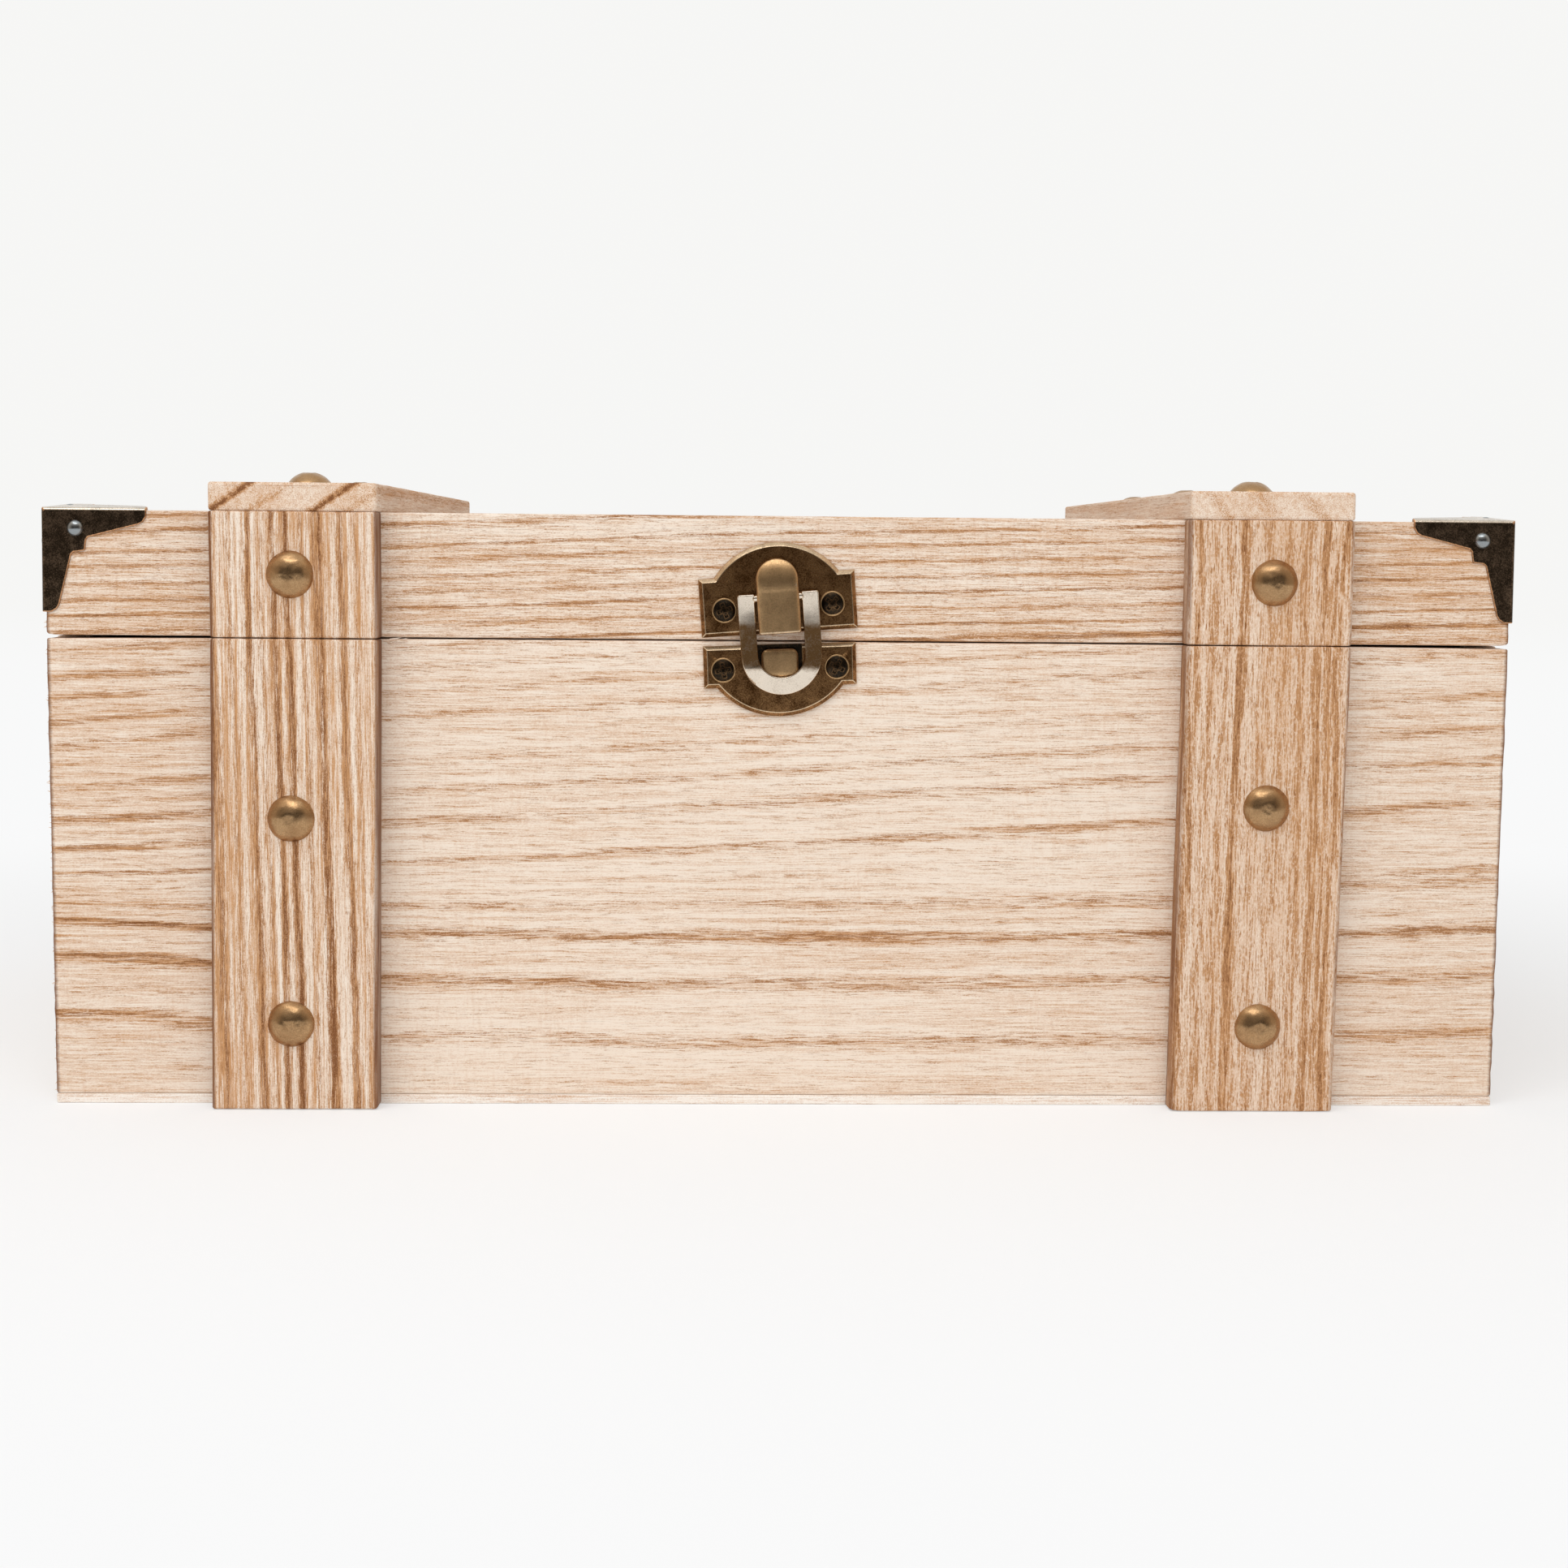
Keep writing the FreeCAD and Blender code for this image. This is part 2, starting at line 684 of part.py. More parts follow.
# Boards of the lid
lid_front_rail = block(-half_width, half_width, front_y, inner_front, lid_bottom, lid_top)
lid_front_rail = drilled(lid_front_rail, lid_nail_holes + latch_holes + all_bracket_holes)
lid_back_rail = block(-half_width, half_width, inner_back, back_y, lid_bottom, lid_top)
lid_back_rail = drilled(lid_back_rail, upper_hinge_holes + all_bracket_holes)
lid_left_rail = block(-half_width, -inner_half, inner_front, inner_back, lid_bottom, lid_top)
lid_right_rail = block(inner_half, half_width, inner_front, inner_back, lid_bottom, lid_top)
top_panel_low = lid_top - top_panel_thickness
lid_top_panel = block(-inner_half, inner_half, inner_front, inner_back, top_panel_low, lid_top)
lid_top_panel = drilled(lid_top_panel, top_nail_holes)


# Battens
def front_batten(centre, z_low, z_high, lean, holes):
    low = centre - batten_width / 2
    high = centre + batten_width / 2
    corners = [
        FreeCAD.Vector(low - lean, front_y, z_low),
        FreeCAD.Vector(high - lean, front_y, z_low),
        FreeCAD.Vector(high, front_y, z_high),
        FreeCAD.Vector(low, front_y, z_high),
    ]
    face = Part.Face(Part.makePolygon(corners + corners[:1]))
    return drilled(face.extrude(front * batten_thickness), holes)


def top_batten(centre):
    low = centre - batten_width / 2
    high = centre + batten_width / 2
    return drilled(block(low, high, batten_face, back_y, lid_top, batten_top), top_nail_holes)


front_batten_left = front_batten(-batten_centre, 0, body_height, batten_lean, body_nail_holes)
front_batten_right = front_batten(batten_centre, 0, body_height, batten_lean, body_nail_holes)
lid_front_batten_left = front_batten(-batten_centre, lid_bottom, lid_top, 0, lid_nail_holes)
lid_front_batten_right = front_batten(batten_centre, lid_bottom, lid_top, 0, lid_nail_holes)
top_batten_left = top_batten(-batten_centre)
top_batten_right = top_batten(batten_centre)

nodes = {
    "front_panel": front_panel,
    "back_panel": back_panel,
    "left_end_panel": left_end_panel,
    "right_end_panel": right_end_panel,
    "bottom_panel": bottom_panel,
    "front_batten_left": front_batten_left,
    "front_batten_right": front_batten_right,
    "front_batten_nails": front_batten_nails,
    "hook_plate": hook_plate,
    "hook_plate_screws": hook_plate_screws,
    "hinge_left_lower_leaf": hinge_left_lower_leaf,
    "hinge_right_lower_leaf": hinge_right_lower_leaf,
    "hinge_left_pin": hinge_left_pin,
    "hinge_right_pin": hinge_right_pin,
    "hinge_lower_screws": hinge_lower_screws,
    "lid_front_rail": lid_front_rail,
    "lid_back_rail": lid_back_rail,
    "lid_left_rail": lid_left_rail,
    "lid_right_rail": lid_right_rail,
    "lid_top_panel": lid_top_panel,
    "lid_front_batten_left": lid_front_batten_left,
    "lid_front_batten_right": lid_front_batten_right,
    "top_batten_left": top_batten_left,
    "top_batten_right": top_batten_right,
    "lid_front_batten_nails": lid_front_batten_nails,
    "top_batten_nails": top_batten_nails,
    "corner_bracket_front_left": corner_bracket_front_left,
    "corner_bracket_front_right": corner_bracket_front_right,
    "corner_bracket_back_left": corner_bracket_back_left,
    "corner_bracket_back_right": corner_bracket_back_right,
    "corner_bracket_nails": corner_bracket_nails,
    "hinge_left_upper_leaf": hinge_left_upper_leaf,
    "hinge_right_upper_leaf": hinge_right_upper_leaf,
    "hinge_upper_screws": hinge_upper_screws,
    "latch_plate": latch_plate,
    "latch_plate_screws": latch_plate_screws,
    "lever_pin": lever_pin,
    "latch_lever": latch_lever,
    "bail": bail,
}
os.makedirs("parts", exist_ok=True)
for name, shape in nodes.items():
    shape.exportStep("parts/" + name + ".step")
    print(name, shape.isValid(), len(shape.Solids), round(shape.Volume, 2))
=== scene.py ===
"""Looks of a pale wooden keepsake chest with strap battens, dome nails and a toggle clasp."""

import json
import math
import random

import bmesh
import bpy
from mathutils import Matrix, Vector, noise

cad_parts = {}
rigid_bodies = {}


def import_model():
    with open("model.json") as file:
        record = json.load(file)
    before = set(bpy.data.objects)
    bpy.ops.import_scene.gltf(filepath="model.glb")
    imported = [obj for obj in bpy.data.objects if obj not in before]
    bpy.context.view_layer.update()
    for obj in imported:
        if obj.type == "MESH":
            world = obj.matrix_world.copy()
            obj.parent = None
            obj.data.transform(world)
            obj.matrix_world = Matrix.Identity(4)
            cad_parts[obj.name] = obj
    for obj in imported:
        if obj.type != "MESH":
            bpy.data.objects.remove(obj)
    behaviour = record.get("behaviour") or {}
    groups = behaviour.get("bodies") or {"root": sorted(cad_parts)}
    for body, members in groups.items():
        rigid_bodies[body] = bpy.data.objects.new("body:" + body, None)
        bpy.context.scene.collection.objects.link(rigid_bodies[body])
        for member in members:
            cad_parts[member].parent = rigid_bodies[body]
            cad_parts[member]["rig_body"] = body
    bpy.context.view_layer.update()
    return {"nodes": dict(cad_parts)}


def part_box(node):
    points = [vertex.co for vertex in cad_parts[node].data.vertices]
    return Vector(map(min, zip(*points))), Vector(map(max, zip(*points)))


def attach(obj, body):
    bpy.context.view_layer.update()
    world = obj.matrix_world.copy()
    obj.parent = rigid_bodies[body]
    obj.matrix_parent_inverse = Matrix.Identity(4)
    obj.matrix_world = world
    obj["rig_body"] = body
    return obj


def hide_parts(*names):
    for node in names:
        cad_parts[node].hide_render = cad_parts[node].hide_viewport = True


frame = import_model()

bl_info = {
    "name": "Keepsake chest",
    "version": (1, 0, 0),
    "blender": (4, 5, 0),
    "location": "View3D > Sidebar > Chest",
    "description": "Dresses the keepsake chest with sawn boards, dome nails, brackets, clasp and hinges",
    "category": "Object",
}

MM = 0.001
FLOAT, COLOUR, VECTOR = "NodeSocketFloat", "NodeSocketColor", "NodeSocketVector"
GEOMETRY, FINISH = "NodeSocketGeometry", "NodeSocketMaterial"
FORWARD, BACKWARD, UPWARD = (0.0, -1.0, 0.0), (0.0, 1.0, 0.0), (0.0, 0.0, 1.0)
EVEN = (1.0, 1.0, 1.0)


def middle_of(node):
    """Middle of a CAD node's box."""
    low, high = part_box(node)
    return 0.5 * (low + high)


# Places on the frame in mm: seam, front face and half width of the box front
SEAM_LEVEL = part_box("front_panel")[1].z / MM
FRONT_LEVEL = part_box("front_panel")[0].y / MM
FRONT_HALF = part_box("front_panel")[1].x / MM
# Front face and half width of the straps, and the height of their roof, in mm
STRAP_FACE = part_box("front_batten_left")[0].y / MM
STRAP_HALF = (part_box("top_batten_right")[1].x - middle_of("top_batten_right").x) / MM
ROOF_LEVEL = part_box("top_batten_left")[1].z / MM

# Which object axes run along, across and into a board
TURNS = {
    "x_flat": (0, 1, 2), "x_up": (0, 2, 1), "y_flat": (1, 0, 2), "y_up": (1, 2, 0), "z_front": (2, 0, 1),
}

# Growth rings of the front board: height at the middle in mm, strength, half width in mm
FRONT_RINGS = (
    (4.5, 0.22, 1.5), (10.0, 0.16, 1.2), (15.7, 0.72, 1.7), (22.5, 0.20, 1.6), (30.3, 0.86, 1.8),
    (36.0, 0.22, 1.6), (41.7, 1.00, 1.5), (45.5, 0.30, 0.9), (49.6, 0.66, 1.3), (53.5, 0.26, 1.0),
    (57.5, 0.30, 1.2), (61.0, 0.24, 0.9), (64.7, 0.78, 1.5), (68.0, 0.22, 0.9), (71.0, 0.28, 1.0),
    (75.5, 0.68, 1.4), (79.2, 0.28, 1.0), (83.0, 0.62, 1.3), (87.2, 0.30, 1.0), (91.0, 0.56, 1.3),
    (94.2, 0.26, 0.9), (97.3, 0.28, 1.0), (101.4, 0.54, 1.4), (104.5, 0.26, 0.9), (107.6, 0.56, 1.4),
    (110.2, 0.26, 0.9), (112.8, 0.58, 1.3), (118.0, 0.52, 1.4), (124.0, 0.50, 1.4),
)
# Rings of the straps: distance from the strap's middle in mm, strength, half width in mm
LEFT_STRAP_RINGS = (
    (-18.6, 0.70, 1.6), (-14.0, 0.42, 1.0), (-9.6, 0.72, 1.3), (-6.6, 0.40, 0.9), (-3.6, 0.86, 1.2),
    (-0.4, 0.95, 1.2), (3.4, 0.42, 0.9), (7.2, 1.00, 1.4), (12.6, 0.72, 1.2), (16.0, 0.30, 0.8),
)
RIGHT_STRAP_RINGS = (
    (-18.8, 0.75, 1.4), (-15.0, 0.42, 1.6), (-11.0, 0.40, 1.5), (-7.8, 0.95, 1.9), (-2.0, 0.32, 1.6),
    (3.0, 0.30, 1.6), (8.0, 0.42, 1.8), (12.5, 0.72, 2.2), (16.2, 0.85, 2.2),
)
TOP_LEFT_RINGS = ((-15.5, 0.95, 1.7), (-6.0, 0.25, 2.0), (8.8, 0.95, 1.7), (17.0, 0.25, 2.0))
TOP_RIGHT_RINGS = ((-14.0, 0.35, 2.0), (-2.0, 0.30, 2.5), (9.0, 0.40, 2.0))

# Outline of one ring's strength: offset in half widths and share of its strength
RING_SHARES = ((-1.0, 0.0), (-0.25, 0.8), (0.2, 1.0), (0.55, 0.35), (1.0, 0.0))

# Noises of the grain: changes along, across and into a board per mm, detail and roughness
GRAIN_NOISES = {
    "fibre": ((0.06, 3.4, 3.4), 4.0, 0.7),
    "fuzz": ((2.4, 4.6, 4.6), 2.0, 0.65),
    "streak": ((0.012, 0.75, 0.75), 3.0, 0.6),
    "pore": ((0.20, 3.6, 3.6), 2.0, 0.6),
    "tick": ((0.6, 5.0, 5.0), 1.0, 0.5),
    "drift": ((0.007, 0.06, 0.06), 2.0, 0.5),
    "broken": ((0.04, 0.9, 0.9), 3.0, 0.6),
    "fleck": ((0.09, 2.6, 2.6), 3.0, 0.6),
    "patch": ((0.02, 0.03, 0.03), 2.0, 0.5),
    "saw": ((1.1, 0.16, 0.16), 3.0, 0.65),
}


def colour(name, text, value):
    return bpy.props.FloatVectorProperty(
        name=name, description=text, subtype="COLOR", size=3, min=0.0, max=1.0, default=value)


def length(name, text, value):
    return bpy.props.FloatProperty(
        name=name, description=text, default=value, min=0.0, unit="LENGTH", precision=5)


def share(name, text, value):
    return bpy.props.FloatProperty(
        name=name, description=text, default=value, min=0.0, max=1.0, subtype="FACTOR")


def angle(name, text, degrees):
    return bpy.props.FloatProperty(
        name=name, description=text, default=math.radians(degrees), subtype="ANGLE")


def amount(name, text, value):
    return bpy.props.FloatProperty(name=name, description=text, default=value, min=0.0)


class ChestWood(bpy.types.PropertyGroup):
    """Sizes and colours of the sawn boards and straps"""

    pale: colour("Pale wood", "Ground colour of the bare wood", (0.885, 0.76, 0.64))
    bottom_pale: colour("Pale bottom", "Ground colour of the thin bottom board", (0.95, 0.89, 0.82))
    warm: colour("Warm wood", "Tan of the soft bands between the rings", (0.60, 0.315, 0.140))
    dark: colour("Pore brown", "Brown of pores and late wood", (0.22, 0.082, 0.026))
    fleck: colour("Pale fleck", "Colour of raised pale fibres", (0.93, 0.84, 0.74))
    # Also paints a front strap's sides and the line along its long edges: partly saw burn, partly painted
    # shade of the gap beside the strap
    scorch_and_edge_shade: colour("Saw scorch", "Brown that the saw burned into sides and ends", (0.16, 0.055, 0.018))
    ease: length("Eased edge", "Radius that sanding left on the edges", 0.55 * MM)
    crown: length("Seam opening", "How far the box front drops towards its ends at the seam", 0.5 * MM)
    lean: length("Strap lean", "How far a box strap's foot stands left of its head", 1.2 * MM)
    close: length("Seam closing", "How far the straps reach into the seam", 0.16 * MM)
    corner: length("Worn corner", "Radius worn on the lower corners of the lid front", 1.3 * MM)
    chip: length("Broken corner", "Size of the broken corner of a strap", 1.6 * MM)


class ChestMetal(bpy.types.PropertyGroup):
    """Sizes and colours of nails, brackets, clasp and hinges"""

    bronze: colour("Antique bronze", "Rubbed metal of the clasp", (0.58, 0.32, 0.14))
    bronze_patina: colour("Bronze patina", "Dark patina of the clasp", (0.075, 0.030, 0.008))
    bail: colour("Rubbed bronze", "Bright rubbed metal of the bail", (0.82, 0.72, 0.60))
    # Patina colour painted over the bail's middle band: painted shade that stands in for the dark reflection
    # of its front
    bail_middle_shade: colour("Bail patina", "Patina left in the bail's hollows", (0.20, 0.11, 0.045))
    # Rim finish of the clasp's rounded edges and upward-leaning rims: partly worn bare metal, partly painted
    # highlight
    rim: colour("Rubbed rim", "Bare metal along the clasp's rims", (0.70, 0.53, 0.35))
    lever: colour("Lever bronze", "Satin metal of the lever and the tab", (0.66, 0.43, 0.22))
    bracket_rim: colour("Bracket rim", "Bare copper along a bracket's cut edges", (0.80, 0.44, 0.23))
    # Lighter finish of a bracket's upward-facing faces: a painted highlight for the pale reflection of its
    # top and fold
    bracket_top_highlight: colour("Bracket top", "Worn metal on a bracket's top and its fold", (0.80, 0.70, 0.58))
    bracket: colour("Bracket bronze", "Rubbed metal of the corner brackets", (0.60, 0.41, 0.27))
    bracket_patina: colour("Bracket patina", "Patina of the corner brackets", (0.038, 0.025, 0.015))
    brass: colour("Antique brass", "Rubbed metal of dome nails and hinges", (0.52, 0.33, 0.17))
    brass_patina: colour("Brass patina", "Patina of dome nails and hinges", (0.26, 0.14, 0.062))
    steel: colour("Nail steel", "Bright steel of the bracket nails", (0.33, 0.355, 0.365))
    steel_patina: colour("Dull steel", "Dull skin of the bracket nails", (0.20, 0.21, 0.23))
    screw: colour("Screw black", "Blackened steel of the screws", (0.020, 0.016, 0.012))
    dome_width: length("Dome width", "Width of a dome nail's head", 11.3 * MM)
    dome_height: length("Dome height", "Height of a dome nail's head", 3.2 * MM)
    dome_dent: length("Dome dents", "Depth of hammer dents on a dome", 0.2 * MM)
    dome_dimple: share("Dome dimple", "Depth of the punched dimple as a share of the dome's height", 0.05)
    tack_width: length("Tack width", "Width of a bracket nail's head", 3.9 * MM)
    tack_height: length("Tack height", "Height of a bracket nail's head", 1.2 * MM)
    spring: angle("Bracket spring", "Angle by which the top flange of a bracket stands off", 11.0)
    spring_reach: length("Spring reach", "Depth over which the top flange levels out again", 7.0 * MM)
    flare: length("Bracket flare", "How far a bracket's side flange stands off at its foot", 0.8 * MM)
    fold: length("Bracket fold", "Radius of a bracket's folds", 0.9 * MM)
    # Width of the bright edge line: partly worn patina, partly painted highlight
    wear_and_glint_width: length("Rubbed edge", "Width of the bright line along metal edges", 0.35 * MM)


class ChestStage(bpy.types.PropertyGroup):
    """Floor, light and camera"""

    floor: colour("Floor", "Colour of the pale floor", (0.946, 0.948, 0.95))
    backdrop: colour("Backdrop", "Colour behind the chest", (0.925, 0.924, 0.912))
    sky: amount("Fill light", "Strength of the even light from all sides", 0.56)
    key: amount("Key light", "Power of the large soft light above the front", 15.5)
    lens: amount("Lens", "Focal length of the camera in millimetres", 53.185)


class Wiring:
    """Adds and joins the nodes of one tree; a socket or a plain value may feed any input."""

    def __init__(self, tree):
        self.tree = tree

    def add(self, kind, inputs=None, **settings):
        node = self.tree.nodes.new(kind)
        for key, value in settings.items():
            setattr(node, key, value)
        for key, value in (inputs or {}).items():
            self.feed(node.inputs[key], value)
        return node

    def give(self, kind, inputs=None, **settings):
        """The first output of a new node."""
        return self.add(kind, inputs, **settings).outputs[0]

    def feed(self, socket, value):
        if isinstance(value, bpy.types.NodeSocket):
            self.tree.links.new(value, socket)
        else:
            socket.default_value = value

    def calc(self, operation, *values, clamp=False):
        inputs = dict(enumerate(values))
        return self.give("ShaderNodeMath", inputs, operation=operation, use_clamp=clamp)

    def plus(self, *values, clamp=False):
        """The sum of two or more values; only the last sum is clamped."""
        result = values[0]
        for value in values[1:-1]:
            result = self.calc("ADD", result, value)
        return self.calc("ADD", result, values[-1], clamp=clamp)

    def minus(self, first, second, clamp=False):
        return self.calc("SUBTRACT", first, second, clamp=clamp)

    def times(self, *values):
        """The product of two or more values."""
        result = values[0]
        for value in values[1:]:
            result = self.calc("MULTIPLY", result, value)
        return result

    def vector(self, operation, *values):
        node = self.add("ShaderNodeVectorMath", dict(enumerate(values)), operation=operation)
        return node.outputs["Value" if operation in ("DOT_PRODUCT", "LENGTH") else "Vector"]

    def combine(self, x, y, z):
        return self.give("ShaderNodeCombineXYZ", {0: x, 1: y, 2: z})

    def parts(self, vector):
        return self.add("ShaderNodeSeparateXYZ", {0: vector}).outputs[:]

    def noise(self, vector, stretch, detail=2.0, roughness=0.5):
        where = self.vector("MULTIPLY", vector, stretch)
        return self.give("ShaderNodeTexNoise", {
            "Vector": where, "Scale": 1.0, "Detail": detail, "Roughness": roughness})

    def wander(self, vector, stretch=EVEN, detail=2.0, roughness=0.5):
        """A noise about zero."""
        return self.minus(self.noise(vector, stretch, detail, roughness), 0.5)

    def span(self, value, low, high, new_low=0.0, new_high=1.0):
        inputs = {0: value, 1: low, 2: high, 3: new_low, 4: new_high}
        return self.give("ShaderNodeMapRange", inputs, interpolation_type="SMOOTHSTEP")

    def blend(self, amount, first, second):
        return self.add("ShaderNodeMix", {0: amount, 6: first, 7: second}, data_type="RGBA").outputs[2]

    def seen(self):
        """1 for a ray that shows a surface, straight or in a mirror, and 0 for one that carries light."""
        path = self.add("ShaderNodeLightPath").outputs
        mirrored = self.calc("MAXIMUM", path["Is Glossy Ray"], path["Is Transmission Ray"])
        return self.calc("MAXIMUM", path["Is Camera Ray"], mirrored)


def opaque(tone):
    return (*tone, 1.0)


def node_group(name, kind, inputs, outputs):
    """A new node tree with named sockets, its wiring, its input sockets by name and its output node."""
    tree = bpy.data.node_groups.new(name, kind)
    for side, sockets in (("INPUT", inputs), ("OUTPUT", outputs)):
        for title, socket_type, value in sockets:
            socket = tree.interface.new_socket(name=title, in_out=side, socket_type=socket_type)
            if value is not None:
                socket.default_value = value
    wiring = Wiring(tree)
    start = wiring.add("NodeGroupInput")
    end = wiring.add("NodeGroupOutput")
    return tree, wiring, start.outputs, end.inputs


# What a drawn surface gives to its shader
SURFACE = (("Color", COLOUR, None), ("Roughness", FLOAT, None), ("Height", FLOAT, None))


def timber_group():
    """Pores, fibres, flecks and saw marks of a pale ring-porous wood, along, across and into a board."""
    tree, w, given, out = node_group(
        "timber_grain", "ShaderNodeTree",
        [("Vector", VECTOR, None), ("Ring", FLOAT, 0.0), ("Warmth", FLOAT, 0.0), ("Comb", FLOAT, 0.3),
         ("Pores", FLOAT, 0.5), ("Flecks", FLOAT, 0.2), ("Saw", FLOAT, 0.3), ("Drift", FLOAT, 0.3),
         ("Streak", FLOAT, 1.0), ("Pale", COLOUR, None), ("Warm", COLOUR, None), ("Dark", COLOUR, None),
         ("Fleck", COLOUR, None)],
        SURFACE)
    sway = w.times(w.wander(given["Vector"], (0.03, 0.12, 0.12)), 1.2)
    v = w.vector("ADD", given["Vector"], w.combine(0.0, sway, 0.0))
    n = {name: w.noise(v, *how) for name, how in GRAIN_NOISES.items()}
    ringed = w.times(given["Ring"], w.span(n["broken"], 0.30, 0.66, 0.45, 1.15))
    # Pores crowd in the rings and thin out between them
    crowd = w.plus(w.times(ringed, 0.16), w.times(given["Pores"], 0.06))
    pores = w.times(w.span(w.plus(n["pore"], crowd), 0.58, 0.70), w.span(n["fuzz"], 0.28, 0.58, 0.25, 1.15))
    ticks = w.span(w.plus(n["tick"], w.times(ringed, 0.06)), 0.61, 0.70)
    flecks = w.times(w.span(n["fleck"], 0.50, 0.63), given["Flecks"])
    brown = w.plus(
        w.times(pores, w.plus(w.times(ringed, 0.46), 0.22)),
        w.times(ticks, given["Pores"], 0.30),
        w.times(ringed, ringed, 0.20), clamp=True)
    tan = w.plus(
        w.times(w.span(n["drift"], 0.3, 0.7), given["Drift"]),
        w.times(ringed, 0.52),
        w.times(w.span(n["streak"], 0.33, 0.67, -0.45, 0.75), given["Comb"]),
        given["Warmth"],
        w.times(w.minus(n["fibre"], 0.5), given["Streak"], 1.9),
        w.times(w.minus(n["fuzz"], 0.5), 1.2),
        w.times(flecks, -0.6),
        w.times(brown, 1.3), clamp=True)
    tone = w.blend(tan, given["Pale"], given["Warm"])
    tone = w.blend(w.times(flecks, 0.6), tone, given["Fleck"])
    tone = w.blend(w.calc("POWER", brown, 1.25), tone, given["Dark"])
    marks = w.times(w.span(n["saw"], 0.50, 0.66), w.span(n["patch"], 0.40, 0.60), given["Saw"])
    w.feed(out["Color"], w.blend(w.times(marks, 0.35), tone, given["Warm"]))
    w.feed(out["Roughness"], w.plus(w.times(n["fibre"], 0.18), 0.56))
    relief = w.minus(w.times(n["fibre"], 0.55), w.times(pores, 0.5))
    w.feed(out["Height"], w.minus(relief, w.times(marks, 0.6)))
    return tree


def ring_group():
    """Irregular growth rings across a board, each rising slowly and ending sharply."""
    tree, w, given, out = node_group(
        "growth_rings", "ShaderNodeTree",
        [("Vector", VECTOR, None), ("Spacing", FLOAT, 6.0), ("Slope", FLOAT, 0.02), ("Tilt", FLOAT, 0.5),
         ("Wobble", FLOAT, 2.0), ("Seed", FLOAT, 0.0)],
        [("Ring", FLOAT, None)])
    along, across, depth = w.parts(given["Vector"])
    place = w.combine(w.times(along, 0.009), w.times(across, 0.03), given["Seed"])
    level = w.plus(across, w.times(depth, given["Tilt"]))
    level = w.minus(level, w.times(along, given["Slope"]))
    level = w.plus(level, w.times(w.wander(place), given["Wobble"], 2.0))
    turn = w.calc("DIVIDE", level, given["Spacing"])
    uneven = w.noise(w.combine(turn, given["Seed"], 3.7), (0.55, 1.0, 1.0), 1.0)
    turn = w.plus(turn, w.times(uneven, 1.1))
    part = w.calc("FRACT", turn)
    strength = w.noise(w.combine(w.calc("FLOOR", turn), given["Seed"], 9.1), (0.73, 1.0, 1.0), 0.0)
    w.feed(out["Ring"], w.times(
        w.span(part, 0.48, 0.76), w.span(part, 0.78, 1.0, 1.0, 0.0), w.span(strength, 0.3, 0.65, 0.35, 1.0)))
    return tree


def edge_wear_glint_group():
    """Bright line along an edge: partly patina rubbed off by hands and cloth, partly a painted highlight
    where the edge catches the light.
    """
    tree, w, given, out = node_group(
        "edge_wear_and_glint", "ShaderNodeTree",
        [("Vector", VECTOR, None), ("Width", FLOAT, 0.0004)],
        [("Edge", FLOAT, None)])
    rounded = w.give("ShaderNodeBevel", {"Radius": given["Width"]}, samples=6)
    facing = w.add("ShaderNodeNewGeometry").outputs["Normal"]
    turned = w.minus(1.0, w.vector("DOT_PRODUCT", rounded, facing))
    patchy = w.noise(given["Vector"], (0.5, 0.5, 0.5), 3.0, 0.6)
    w.feed(out["Edge"], w.times(w.span(turned, 0.01, 0.14), w.span(patchy, 0.25, 0.6, 0.35, 1.0)))
    return tree


def metal_group():
    """Mottled patina over rubbed metal, with fine specks."""
    tree, w, given, out = node_group(
        "aged_metal", "ShaderNodeTree",
        [("Vector", VECTOR, None), ("Bright", COLOUR, None), ("Patina", COLOUR, None), ("Cover", FLOAT, 0.6),
         ("Mottle", FLOAT, 0.6), ("Edge", FLOAT, 0.0), ("Specks", FLOAT, 0.3)],
        SURFACE)
    cloud, fine, speck = (
        w.noise(given["Vector"], (scale, scale, scale), detail, roughness)
        for scale, detail, roughness in ((0.32, 4.0, 0.6), (2.8, 3.0, 0.7), (4.6, 1.0, 0.5)))
    mottle = w.plus(w.minus(cloud, 0.5), w.times(w.minus(fine, 0.5), 1.2))
    cover = w.plus(given["Cover"], w.times(mottle, given["Mottle"]))
    # The edge line bares the bright metal: partly wear, partly painted highlight
    cover = w.minus(cover, given["Edge"], clamp=True)
    cover = w.minus(cover, w.times(w.span(speck, 0.62, 0.72), given["Specks"]), clamp=True)
    w.feed(out["Color"], w.blend(cover, given["Bright"], given["Patina"]))
    w.feed(out["Roughness"], w.plus(w.times(cover, 0.12), w.times(fine, 0.12), 0.15))
    w.feed(out["Height"], w.plus(w.times(fine, 0.4), w.times(cloud, 0.6)))
    return tree


GROUP_MAKERS = {
    "timber_grain": timber_group, "growth_rings": ring_group, "edge_wear_and_glint": edge_wear_glint_group,
    "aged_metal": metal_group,
}


def grouped(w, name, inputs):
    """The outputs of a shared node group, made the first time it is asked for."""
    tree = bpy.data.node_groups.get(name) or GROUP_MAKERS[name]()
    return w.add("ShaderNodeGroup", inputs, node_tree=tree).outputs


def bare_nodes(owner):
    """The wiring of a material or world whose nodes have been cleared."""
    owner.use_nodes = True
    owner.node_tree.nodes.clear()
    return Wiring(owner.node_tree)


